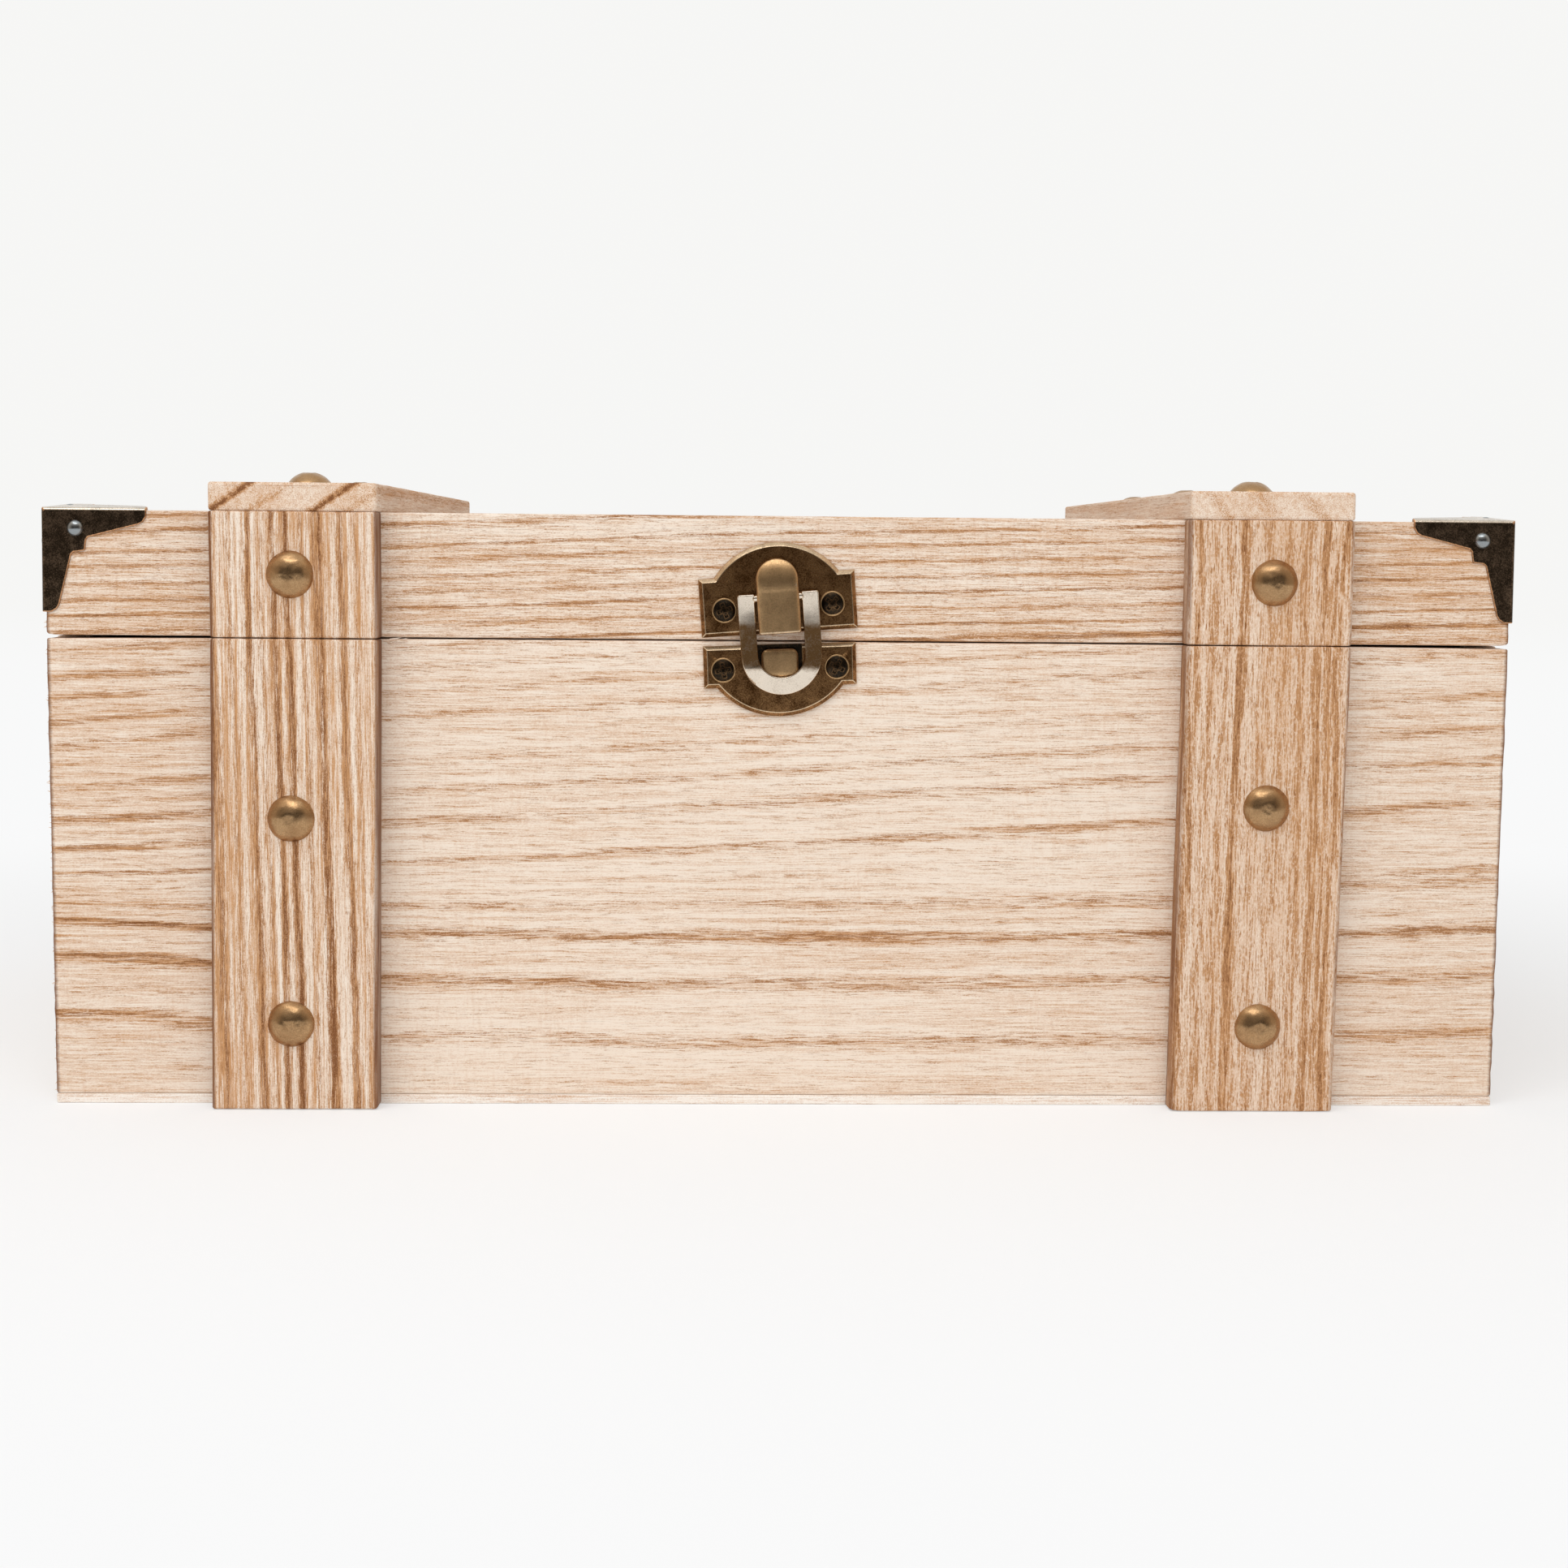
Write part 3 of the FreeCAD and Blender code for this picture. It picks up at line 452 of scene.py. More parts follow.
def new_material(name):
    """An empty surface: its material, wiring, shader and object coordinates in millimetres."""
    material = bpy.data.materials.new(name)
    w = bare_nodes(material)
    shader = w.add("ShaderNodeBsdfPrincipled")
    w.add("ShaderNodeOutputMaterial", {"Surface": shader.outputs[0]})
    where = w.add("ShaderNodeTexCoord").outputs["Object"]
    place = w.vector("MULTIPLY", where, (1 / MM, 1 / MM, 1 / MM))
    return material, w, shader, place


def surfaced(w, shader, tone, roughness, height, strength, depth):
    """Feeds a shader with a colour, a roughness and a relief of that strength and depth."""
    bump = w.give("ShaderNodeBump", {"Strength": strength, "Distance": depth, "Height": height})
    for key, value in (("Base Color", tone), ("Roughness", roughness), ("Normal", bump)):
        w.feed(shader.inputs[key], value)


def ring_curve(w, level, rings, low, high, spread=1.35):
    """Strength of listed rings over a level in mm, each widened by the spread."""
    part = w.give("ShaderNodeMapRange", {0: level, 1: low, 2: high, 3: 0.0, 4: 1.0})
    node = w.add("ShaderNodeFloatCurve", {"Value": part})
    dots = [(0.0, 0.0), (1.0, 0.0)]
    for ring_level, strength, half in rings:
        for offset, ring_share in RING_SHARES:
            dots.append(((ring_level + offset * half * spread - low) / (high - low), strength * ring_share))
    dots = sorted(dot for dot in dots if 0.0 <= dot[0] <= 1.0)
    points = node.mapping.curves[0].points
    while len(points) < len(dots):
        points.new(0.5, 0.0)
    for point, dot in zip(points, dots):
        point.location = dot
        point.handle_type = "VECTOR"
    node.mapping.update()
    return node.outputs[0]


# Where the box front's rings stop lying level and where they climb fully, in mm of height
RINGS_LEVEL, RINGS_CLIMB = 44.0, 66.0
# Heights in mm between which the front rings are drawn, and how far they are moved up for it
FRONT_RINGS_LOW, FRONT_RINGS_HIGH, FRONT_RINGS_SHIFT = -8.0, 132.0, 33.5


def front_rings(w, along, across, depth):
    """Rings of the box front: level and slightly hollow at the foot, climbing to the right higher up."""
    climb = w.span(across, RINGS_LEVEL, RINGS_CLIMB, 0.0, 0.065)
    hollow = w.times(along, along, w.span(across, RINGS_LEVEL, RINGS_CLIMB, 0.0001, 0.0))
    place = w.combine(w.times(along, 0.022), w.times(across, 0.05), 4.0)
    level = w.minus(w.minus(across, hollow), w.times(along, climb))
    left_lift = w.times(w.span(along, -165.0, -95.0, 1.0, 0.0), w.span(across, 36.0, 52.0, 3.0, -2.2))
    level = w.plus(
        w.minus(level, left_lift), w.times(depth, 0.35), w.times(w.wander(place, EVEN, 3.0, 0.55), 3.2),
        FRONT_RINGS_SHIFT)
    rings = ring_curve(w, level, FRONT_RINGS, FRONT_RINGS_LOW, FRONT_RINGS_HIGH, 1.9)
    return w.times(rings, w.span(along, -150.0, -90.0, 1.4, 1.0))


# Height in mm about which a strap's rings lean, and how far from its middle they are drawn
STRAP_RINGS_PIVOT, STRAP_RINGS_REACH = 72.0, 24.0


def strap_rings(rings, middle, lean, bow, tilt=0.4, face=STRAP_FACE):
    """Rings of a strap about its middle, leaning along it, bowed in mm and tilted into it from its face."""
    def wire(w, along, across, depth):
        place = w.combine(w.times(along, 0.02), w.times(across, 0.05), middle)
        level = w.plus(
            w.minus(across, middle), w.times(w.minus(along, STRAP_RINGS_PIVOT), lean),
            w.times(w.wander(place, EVEN, 3.0, 0.55), bow), w.times(w.minus(depth, face), tilt))
        return ring_curve(w, level, rings, -STRAP_RINGS_REACH, STRAP_RINGS_REACH)
    return wire


# Scorched and shaded line of a strap, partly saw burn and partly painted shade of the gap beside it: how far
# inside its long edges it starts and is full, in mm
SIDE_SCORCH_SHADE_START, SIDE_SCORCH_SHADE_FULL = 1.2, 0.35
# Scorched ends of a front board: where they start and are full past its end, and their depth, in mm
END_SCORCH_START, END_SCORCH_FULL = -0.8, 0.3
END_SCORCH_SHALLOW, END_SCORCH_DEEP = 0.3, 1.4
# Distance from the middle in mm over which a front board grows warmer, and by how much
ENDS_WARM_FROM, ENDS_WARM_TO, ENDS_WARMTH = 105.0, 165.0, 0.16
# Strength of the relief of wood and metal, depth of the wood's, and the wood's faint sheen
WOOD_RELIEF, METAL_RELIEF = 0.35, 0.5
WOOD_RELIEF_DEPTH = 0.12 * MM
WOOD_SHEEN = 0.22


def scorched_and_shaded_sides(w, tone, grain, axes, least, most, middle):
    """A strap's colour with its sides and long edges browned from least to most: partly saw burn, partly
    painted shade along the gap beside the strap.
    """
    wood = bpy.context.scene.chest_wood
    facing = w.parts(w.add("ShaderNodeTexCoord").outputs["Normal"])[0]
    upright = w.plus(axes[0], w.span(axes[2], 0.0, SEAM_LEVEL, wood.lean / MM, 0.0))
    from_middle = w.calc("ABSOLUTE", w.minus(upright, middle))
    line = w.span(from_middle, STRAP_HALF - SIDE_SCORCH_SHADE_START, STRAP_HALF - SIDE_SCORCH_SHADE_FULL)
    # Sides by their facing and a line along the long edges: partly saw burn, partly painted shade
    side = w.calc("MAXIMUM", w.span(w.calc("ABSOLUTE", facing), 0.2, 0.7), line)
    burn_and_shade = w.span(w.noise(grain, (0.03, 0.35, 0.35), 3.0, 0.6), 0.3, 0.7, least, most)
    return w.blend(w.times(side, burn_and_shade), tone, opaque(wood.scorch_and_edge_shade))


def scorched_ends(w, tone, grain, from_middle, depth):
    """A front board's colour with the edges of its ends browned by the saw."""
    wood = bpy.context.scene.chest_wood
    edge = w.plus(from_middle, w.times(w.noise(grain, (0.4, 0.8, 0.8), 2.0, 0.6), 0.8))
    near_front = w.span(depth, FRONT_LEVEL + END_SCORCH_SHALLOW, FRONT_LEVEL + END_SCORCH_DEEP, 0.85, 0.12)
    end = w.span(edge, FRONT_HALF + END_SCORCH_START, FRONT_HALF + END_SCORCH_FULL)
    return w.blend(w.times(near_front, end), tone, opaque(wood.scorch_and_edge_shade))


def wood_material(name, turn, offset=(0.0, 0.0, 0.0), rings=None, spacing=6.0, slope=0.02, tilt=0.5,
                  wobble=2.0, warmth=0.0, comb=0.25, pores=0.5, flecks=0.15, saw=0.3, drift=0.35,
                  strength=1.0, streak=1.0, squeeze=EVEN, pale="pale", scorch_and_shade=None, ends=False):
    """A bare wood; for a strap, its sides' scorch and shade holds the least and most burn, partly saw burn
    and partly painted edge shade, and its middle; ends marks a front board.
    """
    wood = bpy.context.scene.chest_wood
    material, w, shader, place = new_material(name)
    axes = w.parts(place)
    along, across, depth = (axes[i] for i in TURNS[turn])
    grain = w.vector("ADD", w.combine(along, across, depth), offset)
    if rings:
        ring = rings(w, along, across, depth)
    else:
        ring = grouped(w, "growth_rings", {
            "Vector": grain, "Spacing": spacing, "Slope": slope, "Tilt": tilt, "Wobble": wobble,
            "Seed": offset[2] + offset[0]})["Ring"]
    if ends:
        from_middle = w.calc("ABSOLUTE", along)
        warmth = w.span(from_middle, ENDS_WARM_FROM, ENDS_WARM_TO, warmth, warmth + ENDS_WARMTH)
    timber = grouped(w, "timber_grain", {
        "Vector": w.vector("MULTIPLY", grain, squeeze), "Ring": w.times(ring, strength), "Warmth": warmth,
        "Comb": comb, "Pores": pores, "Flecks": flecks, "Saw": saw, "Drift": drift, "Streak": streak,
        "Pale": opaque(getattr(wood, pale)), "Warm": opaque(wood.warm), "Dark": opaque(wood.dark),
        "Fleck": opaque(wood.fleck)})
    tone = timber["Color"]
    if scorch_and_shade:
        tone = scorched_and_shaded_sides(w, tone, grain, axes, *scorch_and_shade)
    if ends:
        tone = scorched_ends(w, tone, grain, from_middle, depth)
    surfaced(w, shader, tone, timber["Roughness"], timber["Height"], WOOD_RELIEF, WOOD_RELIEF_DEPTH)
    shader.inputs["Specular IOR Level"].default_value = WOOD_SHEEN
    return material


# Heights in mm between which the bail takes its patina colour, a painted shade that stands in for the dark
# reflection of its front-facing middle, and how softly that starts and ends
BAIL_SHADE_LOW, BAIL_SHADE_HIGH, BAIL_SHADE_SOFT = 109.5, 118.0, 2.5


def metal_material(name, bright, patina, cover, mottle, specks, relief, rub_share=0.8, satin=0.0,
                   rubbed=False):
    """A patinated metal; satin roughens it, and the bail's finish keeps its patina only in the bail's middle,
    as painted shade for its dark reflection.
    """
    material, w, shader, place = new_material(name)
    edge = grouped(w, "edge_wear_and_glint", {"Vector": place, "Width": bpy.context.scene.chest_metal.wear_and_glint_width})["Edge"]
    # The bail is darker only in its middle band: painted shade for the dark room that its front-facing middle
    # reflects
    if rubbed:
        height = w.parts(place)[2]
        above = w.span(height, BAIL_SHADE_LOW - BAIL_SHADE_SOFT, BAIL_SHADE_LOW)
        below = w.span(height, BAIL_SHADE_HIGH, BAIL_SHADE_HIGH + BAIL_SHADE_SOFT, 1.0, 0.0)
        cover = w.times(above, below, cover)
    aged = grouped(w, "aged_metal", {
        "Vector": place, "Bright": opaque(bright), "Patina": opaque(patina), "Cover": cover, "Mottle": mottle,
        "Edge": w.times(edge, rub_share), "Specks": specks})
    roughness = w.plus(aged["Roughness"], satin)
    surfaced(w, shader, aged["Color"], roughness, aged["Height"], METAL_RELIEF, relief)
    shader.inputs["Metallic"].default_value = 1.0
    return material


def finish_material(name):
    """The finish of that name, made the first time it is asked for."""
    found = bpy.data.materials.get("chest_" + name)
    if found:
        return found
    m = bpy.context.scene.chest_metal
    # Bright metal, patina, cover, mottle, specks, relief in mm and what else sets the finish apart
    finishes = {
        "antique_bronze": (m.bronze, m.bronze_patina, 0.70, 1.5, 0.4, 0.05, {}),
        # The bail: bright, with its patina colour only in the middle band as painted shade
        "shaded_bail_bronze": (m.bail, m.bail_middle_shade, 1.0, 0.7, 0.2, 0.03, {"rubbed": True}),
        "lever_bronze": (m.lever, m.bronze_patina, 0.25, 0.8, 0.3, 0.04, {"satin": 0.09}),
        # Clasp rims: partly worn bare metal, partly painted highlight on the upward-leaning faces
        "rim_bronze": (m.rim, m.bronze_patina, 0.22, 1.0, 0.2, 0.03, {}),
        "bracket_edges": (m.bracket_rim, m.bracket_patina, 0.30, 1.5, 0.1, 0.03, {"satin": 0.16}),
        # A bracket's upward-facing faces: lighter, a painted highlight
        "bracket_lit_tops": (m.bracket_top_highlight, m.bracket_patina, 0.20, 0.9, 0.1, 0.03, {}),
        "dark_bronze": (m.bracket, m.bracket_patina, 0.93, 0.85, 0.35, 0.12, {"satin": 0.05}),
        "antique_brass": (m.brass, m.brass_patina, 0.40, 1.1, 0.2, 0.08, {"satin": 0.04}),
        "bright_steel": (m.steel, m.steel_patina, 0.15, 0.5, 0.0, 0.02, {}),
        # Screw heads: blackened steel, with bronze along the edges of the recess as painted glints; the
        # clasp's window also takes this black as painted shade
        "dark_screws": (m.bronze, m.screw, 1.0, 0.3, 0.2, 0.03, {"rub_share": 0.32}),
    }
    *values, relief, apart = finishes[name]
    return metal_material("chest_" + name, *values, relief * MM, **apart)


def linked(name, data):
    """A new object in the scene."""
    item = bpy.data.objects.new(name, data)
    bpy.context.scene.collection.objects.link(item)
    return item


def mesh_from(bm, name):
    """A new mesh from a bmesh, which is freed."""
    mesh = bpy.data.meshes.new(name)
    bm.to_mesh(mesh)
    bm.free()
    return mesh


def applied(holder):
    """The plain mesh that an object's modifiers give; the object is removed."""
    holder.update_tag()
    made = bpy.data.meshes.new_from_object(holder.evaluated_get(bpy.context.evaluated_depsgraph_get()))
    holder.modifiers.clear()
    bpy.data.objects.remove(holder)
    return made


def coated(mesh, finishes):
    for finish in finishes:
        mesh.materials.append(finish)


def new_piece(name, mesh, body, stands_for=(), materials=()):
    """Places a finished mesh on its body, in its finish, for the CAD nodes that it stands for."""
    piece = linked(name, mesh)
    coated(mesh, materials)
    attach(piece, body)
    if stands_for:
        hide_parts(*stands_for)
    return piece


def body_of(node):
    return frame["nodes"][node]["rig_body"]


def skinned(bm, rows):
    """Joins rows of points, each a loop, into a skin that is closed at both ends."""
    for first, second in zip(rows, rows[1:]):
        for i in range(len(first)):
            j = (i + 1) % len(first)
            bm.faces.new((first[i], first[j], second[j], second[i]))
    bm.faces.new(rows[0])
    bm.faces.new(reversed(rows[-1]))
    bmesh.ops.recalc_face_normals(bm, faces=bm.faces[:])


# Corners of a board's section in order, and the shares of a corner's turn at which it has points
SECTION_CORNERS = ((0, 0), (1, 0), (1, 1), (0, 1))
CORNER_TURN_SHARES = (0.0, 0.5, 1.0)
# Rounding of a board's ends: distance from the end and inset, as shares of the eased radius
END_SHARES = ((0.0, 1.0), (0.15, 0.47), (0.5, 0.13), (1.0, 0.0))
# Eased radius as shares of the asked one, and the widest share of a board's thickness
EASE_LEAST_SHARE, EASE_SPREAD_SHARE, EASE_WIDEST_SHARE = 0.45, 1.1, 0.45
# Lengths over which the eased radius and a ragged end change
EASE_WAVE = 9.0 * MM
RAGGED_WAVE = 2.3 * MM


def ruggedness(place, seed):
    """Smooth pseudo-random value from 0 to 1 along an edge."""
    return 0.5 + 0.5 * noise.noise(Vector((place, seed * 7.31, seed * 1.77)))


def corner_point(size, inset, k, radius, turn):
    """A point of a section's rounded corner, from 0 at its start to 1 at its end."""
    centre = [size[i] - radius - inset if SECTION_CORNERS[k][i] else radius + inset for i in (0, 1)]
    heading = math.pi * (1.0 + 0.5 * (k + turn))
    return Vector((centre[0] + radius * math.cos(heading), centre[1] + radius * math.sin(heading)))


def section(size, inset, radii, step):
    """Points round a board's section: rounded corners, with the sides between them divided."""
    ring = []
    for k, radius in enumerate(radii):
        ring += [corner_point(size, inset, k, radius, turn) for turn in CORNER_TURN_SHARES]
        after = (k + 1) % len(radii)
        first = ring[-1]
        last = corner_point(size, inset, after, radii[after], 0.0)
        count = max(1, int(size[k % 2] / step))
        ring += [first.lerp(last, i / count) for i in range(1, count)]
    return ring


def sawn_board(name, low, high, along, ease, seed, ragged=0.0, chip=0.0, bend=None, step=5 * MM):
    """A sawn board: long edges eased unevenly, ends a little ragged, first corner broken by the chip."""
    b, c = (i for i in range(3) if i != along)
    span = high[along] - low[along]
    size = (high[b] - low[b], high[c] - low[c])
    count = max(2, int(span / step))
    stations = [(t * ease, inset * ease) for t, inset in END_SHARES]
    stations += [(ease + (span - 2 * ease) * i / count, 0.0) for i in range(1, count)]
    stations += [(span - t * ease, inset * ease) for t, inset in reversed(END_SHARES)]
    bm = bmesh.new()
    rows = []
    for place, inset in stations:
        uneven = [EASE_LEAST_SHARE + EASE_SPREAD_SHARE * ruggedness(place / EASE_WAVE, seed + k * 13.7)
                  for k in range(len(SECTION_CORNERS))]
        radii = [ease * part for part in uneven]
        if chip:
            radii[0] += chip * math.exp(-place / chip)
        radii = [min(radius, EASE_WIDEST_SHARE * min(size)) for radius in radii]
        at_end = place < 2 * ease or place > span - 2 * ease
        row = []
        for u, v in section(size, inset, radii, step):
            shift = 0.0
            if ragged and at_end:
                wave = noise.noise(Vector((u / RAGGED_WAVE, v / RAGGED_WAVE, seed))) * ragged
                shift = wave if place < span / 2 else -wave
            p = [0.0, 0.0, 0.0]
            p[along] = low[along] + place + shift
            p[b] = low[b] + u
            p[c] = low[c] + v
            row.append(bm.verts.new(bend(p) if bend else p))
        rows.append(row)
    skinned(bm, rows)
    return mesh_from(bm, name)


# Slots of the rim finish and of a further finish on a metal piece; the rim is worn bare metal and, on the
# clasp, also a painted highlight; the further finish is a painted highlight on a bracket's tops and painted
# shade in the clasp's window
RIM, FURTHER = 1, 2
# Points closer than this are one, and a cut leaves points this close to it alone
MERGE_GAP = 0.002 * MM
CUT_GAP = 0.001 * MM
# Angles in degrees: faces that are one flat, edges that are rounded, edges that stay sharp
FLAT_ANGLE, ROUNDED_ANGLE, SHARP_ANGLE = 0.8, 28.0, 34.0
# Slanted faces of a plate that take the rim finish as a painted highlight, as they lean up towards the light:
# least and most lean to the front, and least lean upwards
RIM_LEAST_FRONT, RIM_MOST_FRONT, RIM_LEAST_UP = 0.25, 0.92, 0.3
# Weight of a large face against a small one in the normals
FLATS_WEIGHT = 90


def refined_copy(node, width, segments=2, reshape=None, cuts=(), rims=False):
    """A merged copy of a CAD node, its edges rounded by that width in the rim finish (worn metal and painted
    highlight) and, with rims, its upward-leaning faces given that finish as painted highlight, cut and then
    reshaped.
    """
    bm = bmesh.new()
    bm.from_mesh(frame["nodes"][node].data)
    bmesh.ops.remove_doubles(bm, verts=bm.verts[:], dist=MERGE_GAP)
    if width:
        bmesh.ops.dissolve_limit(
            bm, angle_limit=math.radians(FLAT_ANGLE), verts=bm.verts[:], edges=bm.edges[:])
        sharp = [e for e in bm.edges if len(e.link_faces) == 2 and e.is_convex
                 and e.calc_face_angle(0.0) > math.radians(ROUNDED_ANGLE)]
        bmesh.ops.bevel(bm, geom=sharp, offset=width, segments=segments, profile=0.5, affect="EDGES",
                        clamp_overlap=False, material=RIM)
    # Upward-leaning slanted faces take the bright rim finish: painted highlight
    if rims:
        for face in bm.faces:
            if RIM_LEAST_FRONT < -face.normal.y < RIM_MOST_FRONT and face.normal.z > RIM_LEAST_UP:
                face.material_index = RIM
    for point, normal in cuts:
        bmesh.ops.bisect_plane(bm, geom=bm.verts[:] + bm.edges[:] + bm.faces[:], plane_co=point,
                               plane_no=normal, dist=CUT_GAP)
    if reshape:
        for vert in bm.verts:
            vert.co = reshape(vert.co.copy())
    bmesh.ops.triangulate(bm, faces=[f for f in bm.faces if len(f.verts) > 4])
    for face in bm.faces:
        face.smooth = True
    mesh = mesh_from(bm, node)
    mesh.attributes.remove(mesh.attributes["custom_normal"])
    mesh.set_sharp_from_angle(angle=math.radians(SHARP_ANGLE))
    return weighted(mesh)


def weighted(mesh):
    """The mesh with normals that follow its large faces, so that flats stay flat beside rounded edges."""
    holder = linked(mesh.name, mesh)
    flats = holder.modifiers.new("flats", "WEIGHTED_NORMAL")
    flats.keep_sharp = True
    flats.weight = FLATS_WEIGHT
    return applied(holder)


# Dome and screw heads: angle of the rim in degrees, segments and rings
DOME_HEAD = (56.0, 48, 36)
SCREW_HEAD = (34.0, 36, 22)
# How far a head's flat underside lies below its seat
HEAD_SUNK = 0.25 * MM
# Bottom and edge of a head's dimple, as shares of its radius
DIMPLE_BOTTOM_SHARE, DIMPLE_EDGE_SHARE = 0.12, 0.30


def head_nodes(w, width, height, rim_angle, segments, rings, dimple=None):
    """A round head as a cap of a ball, flat underneath, with a punched dimple in its middle."""
    ball = w.give("GeometryNodeMeshUVSphere", {"Segments": segments, "Rings": rings, "Radius": 1.0})
    x, y, z = w.parts(w.give("GeometryNodeInputPosition"))
    from_axis = w.vector("LENGTH", w.combine(x, y, 0.0))
    bend = math.radians(rim_angle)
    swing = w.times(from_axis, math.sin(bend))
    rise = w.calc("SQRT", w.minus(1.0, w.times(swing, swing)))
    rise = w.calc("DIVIDE", w.minus(rise, math.cos(bend)), 1.0 - math.cos(bend))
    if dimple is not None:
        hollow = w.minus(1.0, w.span(from_axis, DIMPLE_BOTTOM_SHARE, DIMPLE_EDGE_SHARE))
        rise = w.minus(rise, w.times(hollow, dimple))
    upper = w.calc("GREATER_THAN", z, -0.02)
    top = w.times(rise, height, upper)
    under = w.times(w.minus(upper, 1.0), HEAD_SUNK)
    half = w.times(width, 0.5)
    spot = w.combine(w.times(x, half), w.times(y, half), w.plus(top, under))
    return w.give("GeometryNodeSetPosition", {"Geometry": ball, "Position": spot})


def seat_tree(name, sizes):
    """A new tree of copies on seats with named sizes and a finish: its wiring and sockets."""
    sockets = [(title, FLOAT, value) for title, value in sizes.items()]
    sockets = [("Seats", GEOMETRY, None), *sockets, ("Finish", FINISH, None)]
    return node_group(name, "GeometryNodeTree", sockets, [("Geometry", GEOMETRY, None)])


def on_seats(w, seats, head):
    """Copies of a head on every seat, turned to face out of it; the length of its facing scales it."""
    facing = w.give("GeometryNodeInputNamedAttribute", {"Name": "facing"}, data_type="FLOAT_VECTOR")
    spin = w.give("GeometryNodeInputNamedAttribute", {"Name": "spin"}, data_type="FLOAT")
    turn = w.give("FunctionNodeAlignRotationToVector", {"Vector": facing}, axis="Z")
    about = w.give("FunctionNodeAxisAngleToRotation", {"Axis": UPWARD, "Angle": spin})
    turn = w.give("FunctionNodeRotateRotation", {"Rotation": turn, "Rotate By": about},
                  rotation_space="LOCAL")
    size = w.vector("LENGTH", facing)
    copies = w.give("GeometryNodeInstanceOnPoints", {
        "Points": seats, "Instance": head, "Rotation": turn, "Scale": w.combine(size, size, size)})
    return w.give("GeometryNodeRealizeInstances", {"Geometry": copies})


def finished(w, given, out, geometry, smooth):
    """Ends a tree: the geometry in its finish, shaded smooth or as it is."""
    if smooth:
        geometry = w.give("GeometryNodeSetShadeSmooth", {"Geometry": geometry})
    w.feed(out["Geometry"], w.give(
        "GeometryNodeSetMaterial", {"Geometry": geometry, "Material": given["Finish"]}))


# How often the wide and the small hammer dents of a dome come, per metre
WIDE_DENTS, SMALL_DENTS = 240.0, 900.0


def dome_tree():
    """Hammered dome nails on seats."""
    tree, w, given, out = seat_tree("dome_nails", {
        "Head Width": 0.01, "Head Height": 0.003, "Dimple": 0.0, "Dent Depth": 0.0, "Dent Seed": 3.0})
    head = head_nodes(w, given["Head Width"], given["Head Height"], *DOME_HEAD, given["Dimple"])
    heads = on_seats(w, given["Seats"], head)
    place = w.vector("ADD", w.give("GeometryNodeInputPosition"), w.combine(0.0, given["Dent Seed"], 0.0))
    wide, small = (w.wander(place, (often, often, often)) for often in (WIDE_DENTS, SMALL_DENTS))
    depth = w.times(w.plus(w.times(wide, 2.0), small), given["Dent Depth"])
    normal = w.give("GeometryNodeInputNormal")
    move = w.give("ShaderNodeVectorMath", {0: normal, "Scale": depth}, operation="SCALE")
    dented = w.give("GeometryNodeSetPosition", {"Geometry": heads, "Offset": move})
    finished(w, given, out, dented, True)
    return tree


def screw_tree():
    """Cross-head screws on seats."""
    tree, w, given, out = seat_tree("cross_screws", {
        "Head Width": 0.0055, "Head Height": 0.001, "Slot Length": 0.0034, "Slot Width": 0.0009,
        "Slot Depth": 0.0008})
    head = head_nodes(w, given["Head Width"], given["Head Height"], *SCREW_HEAD)
    long, wide, deep = given["Slot Length"], given["Slot Width"], given["Slot Depth"]
    cutters = [w.give("GeometryNodeMeshCube", {"Size": w.combine(x, y, w.times(deep, 2.0))})
               for x, y in ((long, wide), (wide, long))]
    cutters.append(w.give("GeometryNodeMeshCylinder", {
        "Vertices": 4, "Radius": w.times(long, 0.34), "Depth": w.times(deep, 2.2)}))
    cross = w.add("GeometryNodeJoinGeometry")
    for cutter in cutters:
        lifted = w.give("GeometryNodeTransform", {
            "Geometry": cutter, "Translation": w.combine(0.0, 0.0, given["Head Height"])})
        w.feed(cross.inputs[0], lifted)
    cut = w.give("GeometryNodeMeshBoolean", {"Mesh 1": head, "Mesh 2": cross.outputs[0]},
                 operation="DIFFERENCE", solver="MANIFOLD")
    finished(w, given, out, on_seats(w, given["Seats"], cut), False)
    return tree


def eyelet_tree():
    """Turned-up rims of the screw holes on seats."""
    tree, w, given, out = seat_tree("screw_eyelets", {"Rim Width": 0.006, "Rim Thickness": 0.0005})
    half = w.times(given["Rim Thickness"], 0.5)
    radius = w.minus(w.times(given["Rim Width"], 0.5), half)
    hoop = w.give("GeometryNodeCurvePrimitiveCircle", {"Resolution": 40, "Radius": radius})
    wire = w.give("GeometryNodeCurvePrimitiveCircle", {"Resolution": 10, "Radius": half})
    rim = w.give("GeometryNodeCurveToMesh", {"Curve": hoop, "Profile Curve": wire})
    finished(w, given, out, on_seats(w, given["Seats"], rim), True)
    return tree


def sliver_tree():
    """Pointed wood slivers on seats."""
    tree, w, given, out = seat_tree("wood_slivers", {"Sliver Length": 0.001, "Sliver Width": 0.0002})
    point = w.give("GeometryNodeMeshCone", {
        "Vertices": 5, "Radius Top": 0.0, "Radius Bottom": w.times(given["Sliver Width"], 0.5),
        "Depth": given["Sliver Length"]})
    finished(w, given, out, on_seats(w, given["Seats"], point), False)
    return tree


